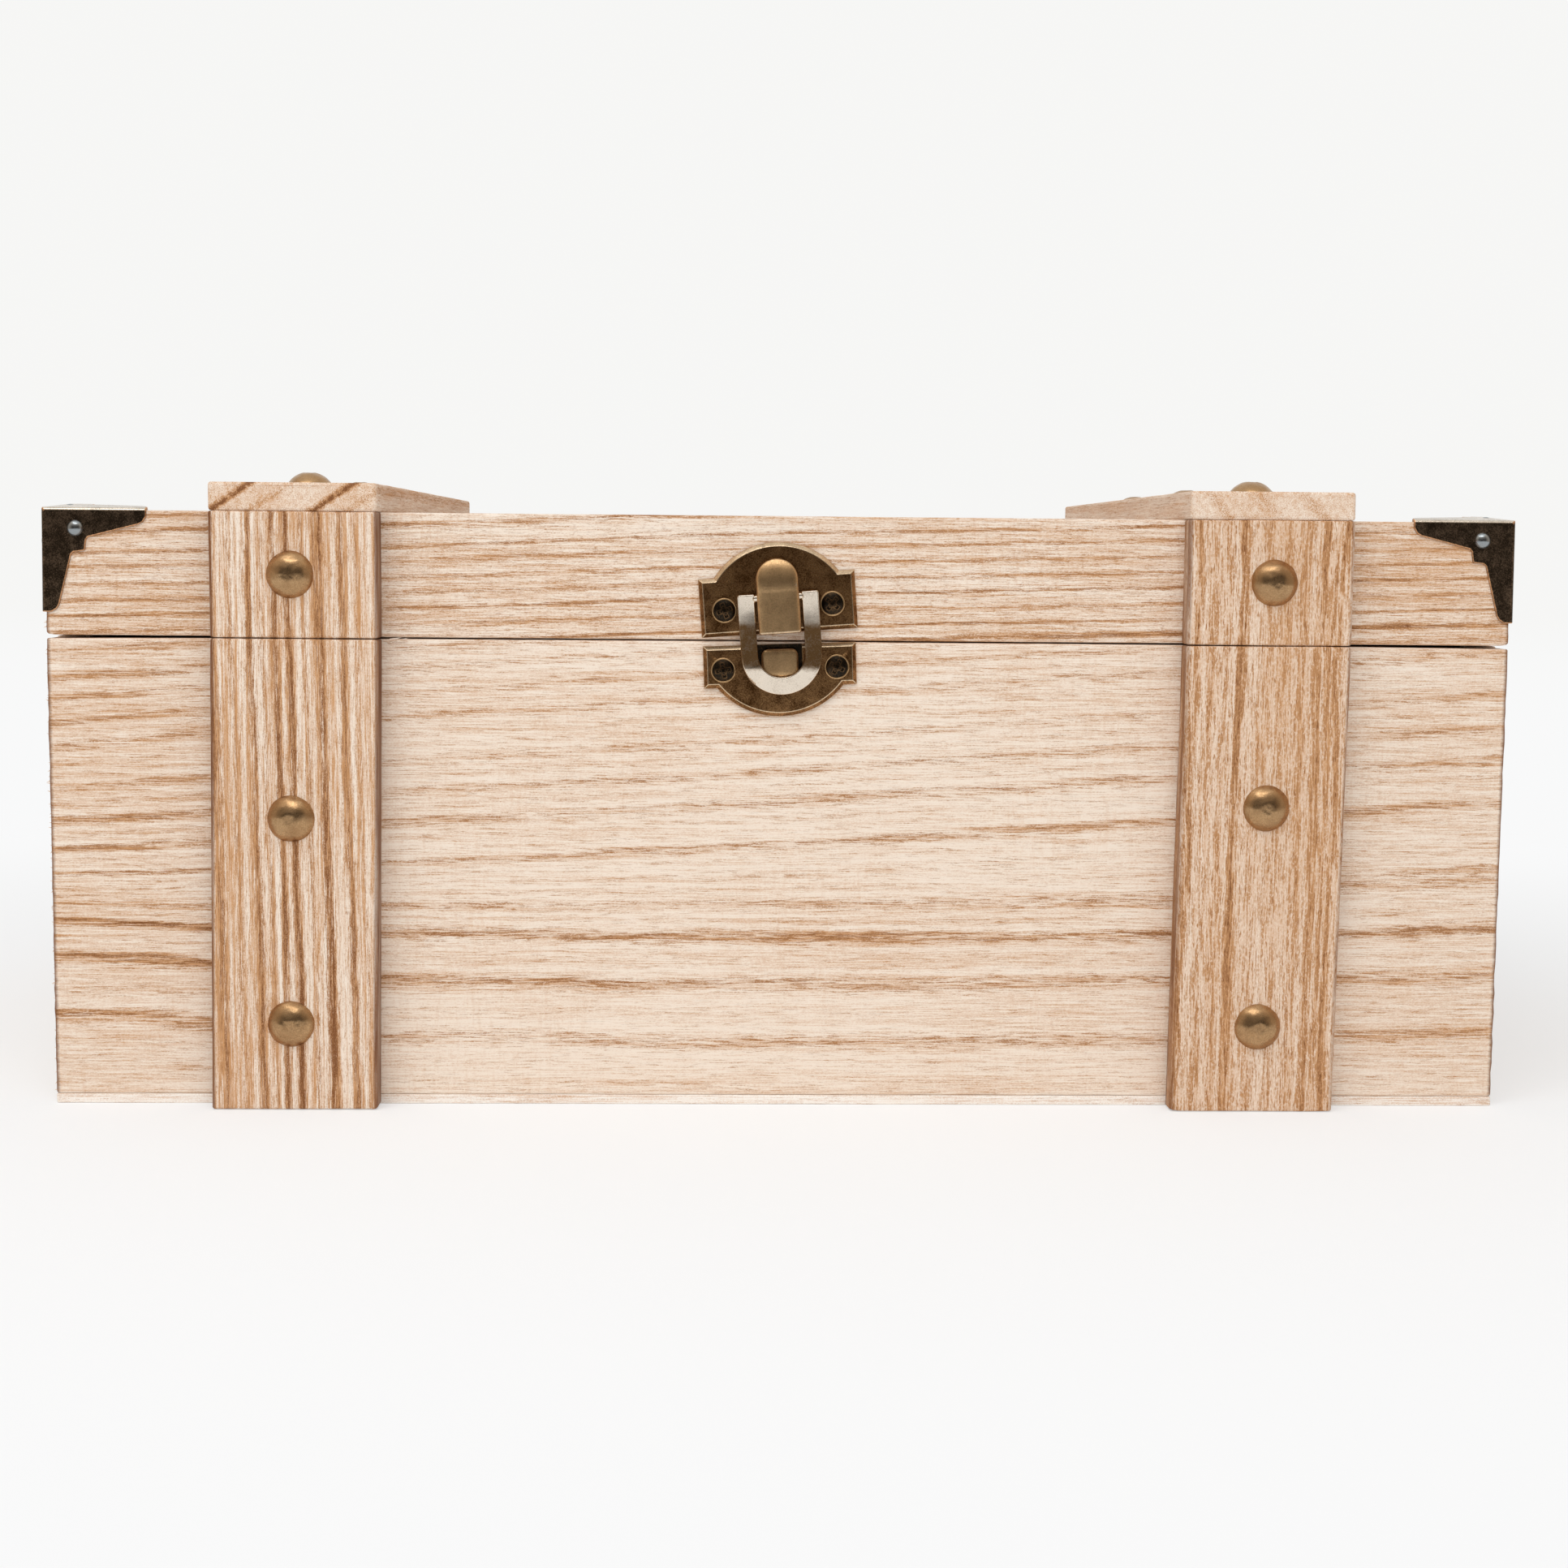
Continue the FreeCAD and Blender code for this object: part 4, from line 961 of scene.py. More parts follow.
def planted(name, tree, seats, values, body, stands_for=()):
    """Runs a tree on seats (place in mm, facing, spin) and keeps the result as one plain mesh."""
    mesh = bpy.data.meshes.new(name + "_seats")
    mesh.from_pydata([Vector(place) * MM for place, _, _ in seats], [], [])
    facings = mesh.attributes.new("facing", "FLOAT_VECTOR", "POINT")
    facings.data.foreach_set("vector", [part for _, facing, _ in seats for part in facing])
    spins = mesh.attributes.new("spin", "FLOAT", "POINT")
    spins.data.foreach_set("value", [spin for _, _, spin in seats])
    holder = linked(name, mesh)
    modifier = holder.modifiers.new("heads", "NODES")
    modifier.node_group = tree
    for item in tree.interface.items_tree:
        if item.in_out == "INPUT" and item.name in values:
            modifier[item.identifier] = values[item.name]
    made = applied(holder)
    if not made.polygons:
        raise RuntimeError(f"{name}: the tree gave no heads")
    made.name = name
    return new_piece(name, made, body, stands_for)


# Boards: name, CAD node, run of the grain, sawing, place in the grain and wood
BOARDS = (
    ("front", "front_panel", "x_up", dict(ragged=0.35 * MM, step=2.5 * MM), (0.0, 0.0, 0.0),
     dict(rings=front_rings, pores=0.35, flecks=0.35, saw=0.35, drift=0.18, strength=0.85, ends=True)),
    ("back", "back_panel", "x_up", dict(ragged=0.2 * MM), (310.0, 40.0, 17.0),
     dict(spacing=8.0, slope=-0.03, wobble=4.0, strength=0.6)),
    ("left_end", "left_end_panel", "y_up", {}, (120.0, 15.0, 31.0),
     dict(spacing=7.0, slope=0.02, wobble=4.0, strength=0.6)),
    ("right_end", "right_end_panel", "y_up", {}, (820.0, 55.0, 43.0),
     dict(spacing=9.0, slope=-0.02, wobble=5.0, strength=0.6)),
    ("bottom", "bottom_panel", "x_flat", dict(ease=0.3 * MM), (77.0, 21.0, 5.0),
     dict(spacing=14.0, wobble=9.0, pale="bottom_pale", strength=0.15, pores=0.1, flecks=0.5)),
    ("lid_front", "lid_front_rail", "x_up", dict(ragged=0.3 * MM, step=1.5 * MM), (45.0, 3.0, 8.0),
     dict(spacing=3.8, slope=0.035, tilt=0.4, wobble=1.6, pores=1.3, flecks=0.45, saw=0.5, warmth=0.06,
          strength=0.8, ends=True)),
    ("lid_back", "lid_back_rail", "x_up", dict(ragged=0.2 * MM), (510.0, 33.0, 27.0),
     dict(spacing=6.0, slope=0.02, wobble=3.0, strength=0.6)),
    ("lid_left", "lid_left_rail", "y_up", {}, (210.0, 25.0, 51.0),
     dict(spacing=6.0, slope=0.02, wobble=3.0, strength=0.6)),
    ("lid_right", "lid_right_rail", "y_up", {}, (330.0, 35.0, 63.0),
     dict(spacing=6.0, slope=-0.02, wobble=3.0, strength=0.6)),
    ("lid_top", "lid_top_panel", "x_flat", dict(ease=0.25 * MM), (640.0, 12.0, 71.0),
     dict(spacing=13.0, slope=0.03, tilt=2.0, wobble=12.0, strength=0.6)),
)
# Height of the box front's upper edge that follows the opening of the seam
CROWNED_EDGE = 4.0 * MM


class CHEST_OT_boards(bpy.types.Operator):
    """Saws the boards of the box and of the lid"""

    bl_idname = "chest.boards"
    bl_label = "Saw the boards"

    def execute(self, context):
        wood = context.scene.chest_wood
        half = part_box("front_panel")[1].x
        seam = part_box("front_panel")[1].z
        lid_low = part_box("lid_front_rail")[0].z

        def crowned(p):
            if p[2] > seam - CROWNED_EDGE:
                p[2] += wood.close - wood.crown * (abs(p[0]) / half) ** 3
            return p

        def corner_worn(p):
            reach = wood.corner
            along, up = reach - (half - abs(p[0])), reach - (p[2] - lid_low)
            far = math.hypot(along, up)
            if along > 0.0 and up > 0.0 and far > reach:
                p[0] = math.copysign(half - reach + along * reach / far, p[0])
                p[2] = lid_low + reach - up * reach / far
            return p

        bends = {"front": crowned, "lid_front": corner_worn}
        for seed, (name, node, turn, sawing, offset, grain) in enumerate(BOARDS):
            sawing = {"ease": wood.ease, "seed": seed + 1.0, "bend": bends.get(name), **sawing}
            mesh = sawn_board(name + "_board", *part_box(node), TURNS[turn][0], **sawing)
            material = wood_material(name + "_wood", turn, offset, **grain)
            new_piece(name + "_board", mesh, body_of(node), [node], [material])
        return {"FINISHED"}


# Saw fuzz on the left ends of the front boards: piece, CAD node, number of slivers
FUZZ = (("box_saw_fuzz", "front_panel", 110), ("lid_saw_fuzz", "lid_front_rail", 34))
# How far the fuzz stays from a board's edges, its depth behind the front and how deep it sits, in mm
FUZZ_MARGIN, FUZZ_SHALLOW, FUZZ_DEEP, FUZZ_SUNK = 0.8, 0.4, 1.5, 0.15
SLIVER_LENGTH = 1.0 * MM
FUZZ_WIDTH = 0.35 * MM
TORN_WIDTH = 0.22 * MM
# Torn fibres right of the left strap: number, and reach along, below and out of the seam in mm
TORN_COUNT, TORN_ALONG, TORN_BELOW, TORN_OUT = 14, 4.5, 0.7, 0.15


class CHEST_OT_slivers(bpy.types.Operator):
    """Leaves saw fuzz on the board ends and torn fibres at the seam"""

    bl_idname = "chest.slivers"
    bl_label = "Leave the saw fuzz"

    def execute(self, context):
        chance = random.Random(11)
        tree = sliver_tree()
        fuzz_wood = wood_material("sliver_wood", "x_up", (33.0, 9.0, 5.0), strength=0.4, warmth=0.2)
        values = {"Sliver Length": SLIVER_LENGTH, "Sliver Width": FUZZ_WIDTH, "Finish": fuzz_wood}
        for name, node, count in FUZZ:
            low, high = (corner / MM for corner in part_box(node))
            seats = []
            for _ in range(count):
                z = chance.uniform(low.z + FUZZ_MARGIN, high.z - FUZZ_MARGIN)
                y = chance.uniform(low.y + FUZZ_SHALLOW, low.y + FUZZ_DEEP)
                facing = Vector((-1.0, chance.uniform(-0.5, 0.3), chance.uniform(-1.2, 0.8))).normalized()
                seats.append(((low.x + FUZZ_SUNK, y, z), facing * chance.uniform(0.3, 1.1), 0.0))
            planted(name, tree, seats, values, body_of(node))
        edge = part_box("front_batten_left")[1].x / MM
        torn = []
        for _ in range(TORN_COUNT):
            x = edge + chance.uniform(0.0, TORN_ALONG)
            z = SEAM_LEVEL - chance.uniform(0.0, TORN_BELOW)
            facing = Vector((1.0, -0.12, chance.uniform(-0.6, 0.5))).normalized()
            torn.append(((x, FRONT_LEVEL - TORN_OUT, z), facing * chance.uniform(1.4, 3.2), 0.0))
        torn_wood = wood_material("torn_wood", "x_up", (3.0, 9.0, 5.0), strength=0.1, flecks=1.0)
        values = {"Sliver Length": SLIVER_LENGTH, "Sliver Width": TORN_WIDTH, "Finish": torn_wood}
        planted("torn_fibres", tree, torn, values, "box")
        return {"FINISHED"}


# How far a front and a top strap's sawn ends wander
STRAP_RAGGED = 0.15 * MM
TOP_STRAP_RAGGED = 0.2 * MM
# A top strap's edges are eased this much more, and its rings lean and bow little
TOP_EASE_SHARE, TOP_LEAN, TOP_BOW = 1.3, 0.005, 3.0
# Least and most burn and painted edge shade of a top strap
TOP_BURN_AND_SHADE = (0.0, 0.12)
# Straps: seed, rings with their lean and bow in mm, burn and painted edge shade, wood; rings, tilt and wood
# of the top strap
STRAPS = {
    "left": dict(
        seed=21.0, rings=LEFT_STRAP_RINGS, lean=0.02, bow=2.4, burn_and_shade=(0.6, 1.0),
        wood=dict(pores=1.1, flecks=0.42, saw=0.6, comb=0.65, warmth=0.17, drift=0.40, strength=1.3,
                  squeeze=(1.25, 1.2, 1.2)),
        top_rings=TOP_LEFT_RINGS, top_tilt=-1.5, top_wood=dict(warmth=0.28, strength=1.6)),
    "right": dict(
        seed=33.0, rings=RIGHT_STRAP_RINGS, lean=-0.015, bow=7.0, burn_and_shade=(0.2, 0.75),
        wood=dict(pores=1.6, flecks=0.0, saw=0.3, comb=0.06, warmth=0.32, drift=0.30, strength=0.85,
                  squeeze=(0.62, 0.62, 0.62), streak=0.45),
        top_rings=TOP_RIGHT_RINGS, top_tilt=0.9, top_wood=dict(warmth=0.12, strength=1.0)),
}


class CHEST_OT_straps(bpy.types.Operator):
    """Saws the strap battens on the front and over the lid"""

    bl_idname = "chest.straps"
    bl_label = "Saw the strap battens"

    def execute(self, context):
        for side, plan in STRAPS.items():
            top = middle_of(f"top_batten_{side}") / MM
            # A strap's wood darkens its sides and long edges: partly saw burn, partly painted shade
            upright = wood_material(
                f"{side}_strap_wood", "z_front", (0.0, plan["seed"], plan["seed"]),
                rings=strap_rings(plan["rings"], top.x, plan["lean"], plan["bow"]),
                scorch_and_shade=(*plan["burn_and_shade"], top.x), **plan["wood"])
            flat = wood_material(
                f"{side}_top_strap_wood", "y_flat", (plan["seed"], top.x, 3.0),
                rings=strap_rings(plan["top_rings"], top.x, TOP_LEAN, TOP_BOW, plan["top_tilt"], top.z),
                scorch_and_shade=(*TOP_BURN_AND_SHADE, top.x), pores=0.7, drift=0.4, **plan["top_wood"])
            self.saw(context.scene.chest_wood, side, plan["seed"], upright, flat)
        return {"FINISHED"}

    def saw(self, wood, side, seed, upright, flat):
        """The strap on the box, the one on the lid's front and the one over the lid."""
        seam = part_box("front_batten_left")[1].z

        def leaning(p):
            p[0] -= wood.lean * (1.0 - p[2] / seam)
            return p

        node = f"front_batten_{side}"
        low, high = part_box(node)
        low.x += wood.lean
        low.z += STRAP_RAGGED
        high.z += wood.close
        chip = wood.chip if side == "right" else 0.0
        mesh = sawn_board(f"{side}_strap", low, high, 2, wood.ease, seed, STRAP_RAGGED, chip, leaning)
        new_piece(f"{side}_strap", mesh, body_of(node), [node], [upright])
        node = f"lid_front_batten_{side}"
        low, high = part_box(node)
        low.z -= 0.5 * wood.close
        mesh = sawn_board(f"lid_{side}_strap", low, high, 2, wood.ease, seed + 3.0, STRAP_RAGGED)
        new_piece(f"lid_{side}_strap", mesh, body_of(node), [node], [upright])
        node = f"top_batten_{side}"
        ease = wood.ease * TOP_EASE_SHARE
        mesh = sawn_board(f"top_{side}_strap", *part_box(node), 1, ease, seed + 6.0, TOP_STRAP_RAGGED)
        new_piece(f"top_{side}_strap", mesh, body_of(node), [node], [flat])


# Dome nails of the box straps: place across and height in mm, and turn of the head
BOX_NAILS = ((-118.98, 21.3, 0.4), (-118.45, 71.5, 1.9), (117.02, 21.3, 2.6), (117.59, 75.3, 4.1))
# Nails of the lid straps: places across and height in mm
LID_NAILS_ACROSS, LID_NAILS_LEVEL = (-118.0, 118.0), 130.0
# Depths of the top straps' nails in mm
TOP_NAILS_DEPTHS = (-79.0, 3.4, 85.8)


class CHEST_OT_dome_nails(bpy.types.Operator):
    """Drives the dome nails into the straps"""

    bl_idname = "chest.dome_nails"
    bl_label = "Drive the dome nails"

    def execute(self, context):
        metal = context.scene.chest_metal
        values = {"Head Width": metal.dome_width, "Head Height": metal.dome_height,
                  "Dent Depth": metal.dome_dent, "Dimple": metal.dome_dimple,
                  "Finish": finish_material("antique_brass")}
        tree = dome_tree()
        strap_middles = [middle_of(f"top_batten_{side}").x / MM for side in STRAPS]
        box_seats = [((x, STRAP_FACE, z), FORWARD, spin) for x, z, spin in BOX_NAILS]
        lid_seats = [((x, STRAP_FACE, LID_NAILS_LEVEL), FORWARD, 2.0 + x) for x in LID_NAILS_ACROSS]
        top_seats = [((x, y, ROOF_LEVEL), UPWARD, x + y) for x in strap_middles for y in TOP_NAILS_DEPTHS]
        for name, seats, node in (
                ("box_dome_nails", box_seats, "front_batten_nails"),
                ("lid_dome_nails", lid_seats, "lid_front_batten_nails"),
                ("top_dome_nails", top_seats, "top_batten_nails")):
            planted(name, tree, seats, values, body_of(node), [node])
        return {"FINISHED"}


# Outline of a bracket's flange, as shares of its leg, up to its inner corner; the rest mirrors it
BRACKET_SHARES = (
    (1.0, 0.0), (1.0, 0.08), (0.968, 0.132), (0.928, 0.156), (0.444, 0.28), (0.424, 0.304), (0.412, 0.396),
    (0.406, 0.406))
BRACKET_WALL = 1.0 * MM
BRACKET_ROUNDING = 0.27 * MM
BRACKET_SHARP_ANGLE = 40.0
# Bracket nails in mm: place along one fold and from the other, rise of the side ones, sinking of the top ones
TACK_ALONG, TACK_FROM_FOLD, TACK_OUT, TACK_SUNK = 8.0, 4.9, 0.08, 1.15
TACK_DENT = 0.02 * MM


def sprung(metal, depth):
    """How high a bracket's top flange stands at a depth behind its front fold."""
    return math.tan(metal.spring) * metal.spring_reach * (1.0 - math.exp(-depth / metal.spring_reach))


class CHEST_OT_brackets(bpy.types.Operator):
    """Folds the corner brackets and drives their nails"""

    bl_idname = "chest.brackets"
    bl_label = "Fold the corner brackets"

    def execute(self, context):
        metal = context.scene.chest_metal
        finishes = [finish_material(name) for name in ("dark_bronze", "bracket_edges", "bracket_lit_tops")]
        seats = []
        for x_side, x_name in ((-1, "left"), (1, "right")):
            for y_side, y_name in ((-1, "front"), (1, "back")):
                node = f"corner_bracket_{y_name}_{x_name}"
                low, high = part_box(node)
                corner = Vector((low.x if x_side < 0 else high.x, low.y if y_side < 0 else high.y, high.z))
                sheet = self.folded(node, corner, high.x - low.x, x_side, y_side, metal)
                mesh = self.walled(sheet, finishes)
                new_piece(f"{y_name}_{x_name}_bracket", mesh, body_of(node), [node])
                x, y, z = corner / MM
                top = z + sprung(metal, TACK_ALONG * MM) / MM - TACK_SUNK
                seats += [
                    ((x - x_side * TACK_ALONG, y, z - TACK_FROM_FOLD), (0.0, y_side, 0.0), 0.0),
                    ((x + x_side * TACK_OUT, y - y_side * TACK_FROM_FOLD, z - TACK_ALONG),
                     (x_side, 0.0, 0.0), 0.0),
                    ((x - x_side * TACK_FROM_FOLD, y - y_side * TACK_ALONG, top), UPWARD, 0.0)]
        values = {"Head Width": metal.tack_width, "Head Height": metal.tack_height, "Dent Depth": TACK_DENT,
                  "Finish": finish_material("bright_steel")}
        planted("bracket_tacks", bpy.data.node_groups["dome_nails"], seats, values, "lid",
                ["corner_bracket_nails"])
        return {"FINISHED"}

    def folded(self, name, corner, leg, x_side, y_side, metal):
        """One sheet with a front, a top and a side flange; the top one springs up and the side one flares."""
        def front(a, b):
            return Vector((-x_side * a, 0.0, -b))

        def top(a, b):
            return Vector((-x_side * a, -y_side * b, sprung(metal, b)))

        def side(a, b):
            return Vector((x_side * metal.flare * (b / leg) ** 2, -y_side * a, -b))

        outline = [*BRACKET_SHARES, *((b, a) for a, b in reversed(BRACKET_SHARES[:-1]))]
        bm = bmesh.new()
        root = bm.verts.new(corner)
        flanges = [[bm.verts.new(corner + place(a * leg, b * leg)) for a, b in outline]
                   for place in (front, top, side)]
        # The top and the side flange share the end points of their folds with the front one
        for flange, end in ((flanges[1], 0), (flanges[2], -1)):
            bm.verts.remove(flange[end])
            flange[end] = flanges[0][end]
        for flange in flanges:
            bm.faces.new([root, *flange])
        bmesh.ops.recalc_face_normals(bm, faces=bm.faces[:])
        bm.faces.ensure_lookup_table()
        inside = corner - Vector((x_side, y_side, 1.0)) * leg
        if (bm.faces[0].calc_center_median() - inside).dot(bm.faces[0].normal) < 0:
            bmesh.ops.reverse_faces(bm, faces=bm.faces[:])
        folds = [e for e in bm.edges if len(e.link_faces) == 2]
        bmesh.ops.bevel(bm, geom=folds, offset=metal.fold, segments=5, profile=0.5, affect="EDGES")
        # Upward-facing faces take the lighter further finish: painted highlight
        for face in bm.faces:
            if face.normal.z > 0.2:
                face.material_index = FURTHER
        return mesh_from(bm, name)

    def walled(self, sheet, finishes):
        """The sheet with its thickness, its cut edges rounded as rims; its finishes come first for that."""
        coated(sheet, finishes)
        holder = linked(sheet.name + "_sheet", sheet)
        wall = holder.modifiers.new("wall", "SOLIDIFY")
        wall.thickness = BRACKET_WALL
        wall.offset = -1.0
        rounding = holder.modifiers.new("rounding", "BEVEL")
        rounding.width = BRACKET_ROUNDING
        rounding.use_clamp_overlap = False
        rounding.segments = 4
        rounding.limit_method = "ANGLE"
        rounding.material = RIM
        made = applied(holder)
        for face in made.polygons:
            face.use_smooth = True
        made.set_sharp_from_angle(angle=math.radians(BRACKET_SHARP_ANGLE))
        return weighted(made)


# Clasp plates: middle and edge height of each in mm, and its tilt in degrees
LATCH_SEAT = (-0.95, 116.8, 4.2)
HOOK_SEAT = (-1.1, 114.1, 2.2)
# Lever: half width, bow of its face, curl of its head and roll of its edges
LEVER_HALF = 5.1 * MM
LEVER_BOW = 0.45 * MM
LEVER_CURL = 0.3 * MM
LEVER_ROLL = 1.3 * MM
# Shares of the lever's depth behind which it isn't bowed and of its height from which it curls
LEVER_BACK_SHARE, LEVER_CURL_SHARE = 0.4, 0.35
# Where the lever is cut for its bow, as shares of its half width, and how many times for its curl
LEVER_STRIP_SHARES = (0.0, 0.2, 0.4, 0.6, 0.74, 0.84, 0.92)
LEVER_LEVELS = 16
# Bail: heights of its two bends, and the slopes of its head and its foot in degrees
BAIL_TOP_BEND = 120.8 * MM
BAIL_FOOT_BEND = 108.2 * MM
BAIL_TOP_SLOPE, BAIL_FOOT_SLOPE = 7.0, 8.0
# Pressed tab on the hook plate: half width, foot, head, corner radius, back, rise and roll of its edge
TAB_HALF = 4.55 * MM
TAB_LOW = -8.1 * MM
TAB_HIGH = -1.1 * MM
TAB_CORNER = 1.7 * MM
TAB_BACK = 1.5 * MM
TAB_RISE = 2.62 * MM
TAB_ROLL = 0.85 * MM
TAB_ARC = 6
# Window that the tab was pressed out of: its half width, low and high edge, back and front
WINDOW_HALF = 5.5 * MM
WINDOW_LOW, WINDOW_HIGH = -6.6 * MM, 1.0 * MM
WINDOW_BACK, WINDOW_FRONT = 0.4 * MM, 3.0 * MM
# Faces of the block that punches it, by corners that are counted up, then out, then across
BLOCK_FACES = ((0, 1, 3, 2), (4, 6, 7, 5), (0, 4, 5, 1), (2, 3, 7, 6), (0, 2, 6, 4), (1, 5, 7, 3))
# Rounded edges of the plates, the lever and the bail
PLATE_EDGE = 0.14 * MM
LEVER_EDGE = 0.5 * MM
BAIL_EDGE = 0.32 * MM


def on_plate(seat, across, out, up):
    """The frame's place of a point drawn across, out of and up a tilted clasp plate."""
    middle, edge, tilt = seat
    lean = math.radians(tilt)
    return Vector((middle * MM + across * math.cos(lean) - up * math.sin(lean),
                   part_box("front_panel")[0].y - out,
                   edge * MM + across * math.sin(lean) + up * math.cos(lean)))


def from_plate(seat, place):
    """How far across and up a tilted clasp plate a place lies."""
    middle, edge, tilt = seat
    lean = math.radians(tilt)
    x, z = place.x - middle * MM, place.z - edge * MM
    return x * math.cos(lean) + z * math.sin(lean), z * math.cos(lean) - x * math.sin(lean)


def pressed_tab(name):
    """The tab on the hook plate: a rounded oblong whose face rolls over to its sides."""
    quarter = [0.5 * math.pi * i / TAB_ARC for i in range(TAB_ARC + 1)]
    profile = [(0.0, TAB_BACK)]
    profile += [(TAB_ROLL * (1.0 - math.cos(turn)), TAB_RISE - TAB_ROLL + TAB_ROLL * math.sin(turn))
                for turn in quarter]
    profile.append((1.8 * TAB_ROLL, TAB_RISE + 0.03 * TAB_ROLL))
    middle, tall = 0.5 * (TAB_LOW + TAB_HIGH), 0.5 * (TAB_HIGH - TAB_LOW)
    bm = bmesh.new()
    rows = []
    for inset, out in profile:
        radius = max(TAB_CORNER - inset, 0.3 * TAB_CORNER)
        row = []
        for k, (x_side, z_side) in enumerate(((1, 1), (-1, 1), (-1, -1), (1, -1))):
            for turn in quarter:
                heading = 0.5 * math.pi * k + turn
                across = x_side * (TAB_HALF - inset - radius) + radius * math.cos(heading)
                up = middle + z_side * (tall - inset - radius) + radius * math.sin(heading)
                row.append(bm.verts.new(on_plate(HOOK_SEAT, across, out, up)))
        rows.append(row)
    skinned(bm, rows)
    for face in bm.faces:
        face.smooth = True
    return mesh_from(bm, name)


def punched(mesh, finishes):
    """The hook plate with the window that its tab was pressed out of, its cut walls given the black third
    finish as painted shade.
    """
    bm = bmesh.new()
    corners = [bm.verts.new(on_plate(HOOK_SEAT, across, out, up)) for across in (-WINDOW_HALF, WINDOW_HALF)
               for out in (WINDOW_BACK, WINDOW_FRONT) for up in (WINDOW_LOW, WINDOW_HIGH)]
    # The punch's faces carry the black third finish onto the window's cut walls: painted shade
    for face in BLOCK_FACES:
        bm.faces.new([corners[i] for i in face]).material_index = FURTHER
    bmesh.ops.recalc_face_normals(bm, faces=bm.faces[:])
    plate = linked("plate_blank", mesh)
    punch = linked("punch", mesh_from(bm, "punch"))
    for item in (plate, punch):
        coated(item.data, finishes)
    window = plate.modifiers.new("window", "BOOLEAN")
    window.operation = "DIFFERENCE"
    window.solver = "MANIFOLD"
    window.object = punch
    made = applied(plate)
    bpy.data.objects.remove(punch)
    if len(made.polygons) < 20:
        raise RuntimeError("the hook plate's window could not be punched")
    return made


class CHEST_OT_clasp(bpy.types.Operator):
    """Stamps the clasp's plates, tab, lever, bail and pin"""

    bl_idname = "chest.clasp"
    bl_label = "Stamp the toggle clasp"

    def execute(self, context):
        bronze, lever, rubbed, rim, window_painted_shade = (finish_material(name) for name in (
            "antique_bronze", "lever_bronze", "shaded_bail_bronze", "rim_bronze", "dark_screws"))
        for name, node, width, finish, settings in (
                ("clasp_top_plate", "latch_plate", PLATE_EDGE, bronze, dict(rims=True)),
                ("clasp_hook_plate", "hook_plate", PLATE_EDGE, bronze, dict(rims=True)),
                ("clasp_lever", "latch_lever", LEVER_EDGE, lever, dict(segments=4, **self.lever_shape())),
                ("clasp_bail", "bail", BAIL_EDGE, rubbed, dict(segments=3, **self.bail_shape())),
                ("clasp_pin", "lever_pin", 0.0, bronze, {})):
            mesh = refined_copy(node, width, **settings)
            finishes = [finish, rim]
            # The hook plate's window takes the black screw finish as painted shade
            if node == "hook_plate":
                mesh = punched(mesh, [finish, rim, window_painted_shade])
                finishes = []
            new_piece(name, mesh, body_of(node), [node], finishes)
        new_piece("clasp_tab", pressed_tab("clasp_tab"), "box", (), [lever])
        return {"FINISHED"}

    def lever_shape(self):
        """Cuts for the lever, and the bow, curl and rolled edges that they let it take."""
        low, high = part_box("latch_lever")
        tall = high.z - low.z
        curl_from = low.z + LEVER_CURL_SHARE * tall
        crown = from_plate(LATCH_SEAT, 0.5 * (low + high))[1] + 0.5 * tall - LEVER_HALF

        def bowed(p):
            across, up = from_plate(LATCH_SEAT, p)
            out = (high.y - p.y) / (high.y - low.y)
            from_axis = math.hypot(across, max(0.0, up - crown)) / LEVER_HALF
            bow = LEVER_BOW * (1.0 - (across / LEVER_HALF) ** 2) - LEVER_ROLL * from_axis ** 5
            head = max(0.0, (p.z - curl_from) / (high.z - curl_from))
            p.y -= max(0.0, out - LEVER_BACK_SHARE) * bow + LEVER_CURL * head ** 2
            return p

        lean = math.radians(LATCH_SEAT[2])
        strips = sorted({side * part for part in LEVER_STRIP_SHARES for side in (-1, 1)})
        cuts = [(on_plate(LATCH_SEAT, LEVER_HALF * part, 0.0, 0.0), (math.cos(lean), 0.0, math.sin(lean)))
                for part in strips]
        cuts += [((0.0, 0.0, curl_from + (high.z - curl_from) * i / LEVER_LEVELS), UPWARD)
                 for i in range(LEVER_LEVELS)]
        return dict(reshape=bowed, cuts=cuts)

    def bail_shape(self):
        """Cuts for the bail, and the bends of its head and foot."""
        top_slope, foot_slope = (math.tan(math.radians(slope)) for slope in (BAIL_TOP_SLOPE, BAIL_FOOT_SLOPE))

        def bent(p):
            if p.z > BAIL_TOP_BEND:
                p.y -= top_slope * (p.z - BAIL_TOP_BEND)
            elif p.z < BAIL_FOOT_BEND:
                p.y += foot_slope * (BAIL_FOOT_BEND - p.z)
            return p

        cuts = [((0.0, 0.0, bend), UPWARD) for bend in (BAIL_TOP_BEND, BAIL_FOOT_BEND)]
        return dict(reshape=bent, cuts=cuts)


class CHEST_OT_hinges(bpy.types.Operator):
    """Rolls the two butt hinges on the back"""

    bl_idname = "chest.hinges"
    bl_label = "Roll the hinges"

    def execute(self, context):
        brass = finish_material("antique_brass")
        for side in ("left", "right"):
            for part in ("lower_leaf", "upper_leaf", "pin"):
                node = f"hinge_{side}_{part}"
                mesh = refined_copy(node, 0.0)
                new_piece(f"{side}_hinge_{part}", mesh, body_of(node), [node], [brass])
        return {"FINISHED"}


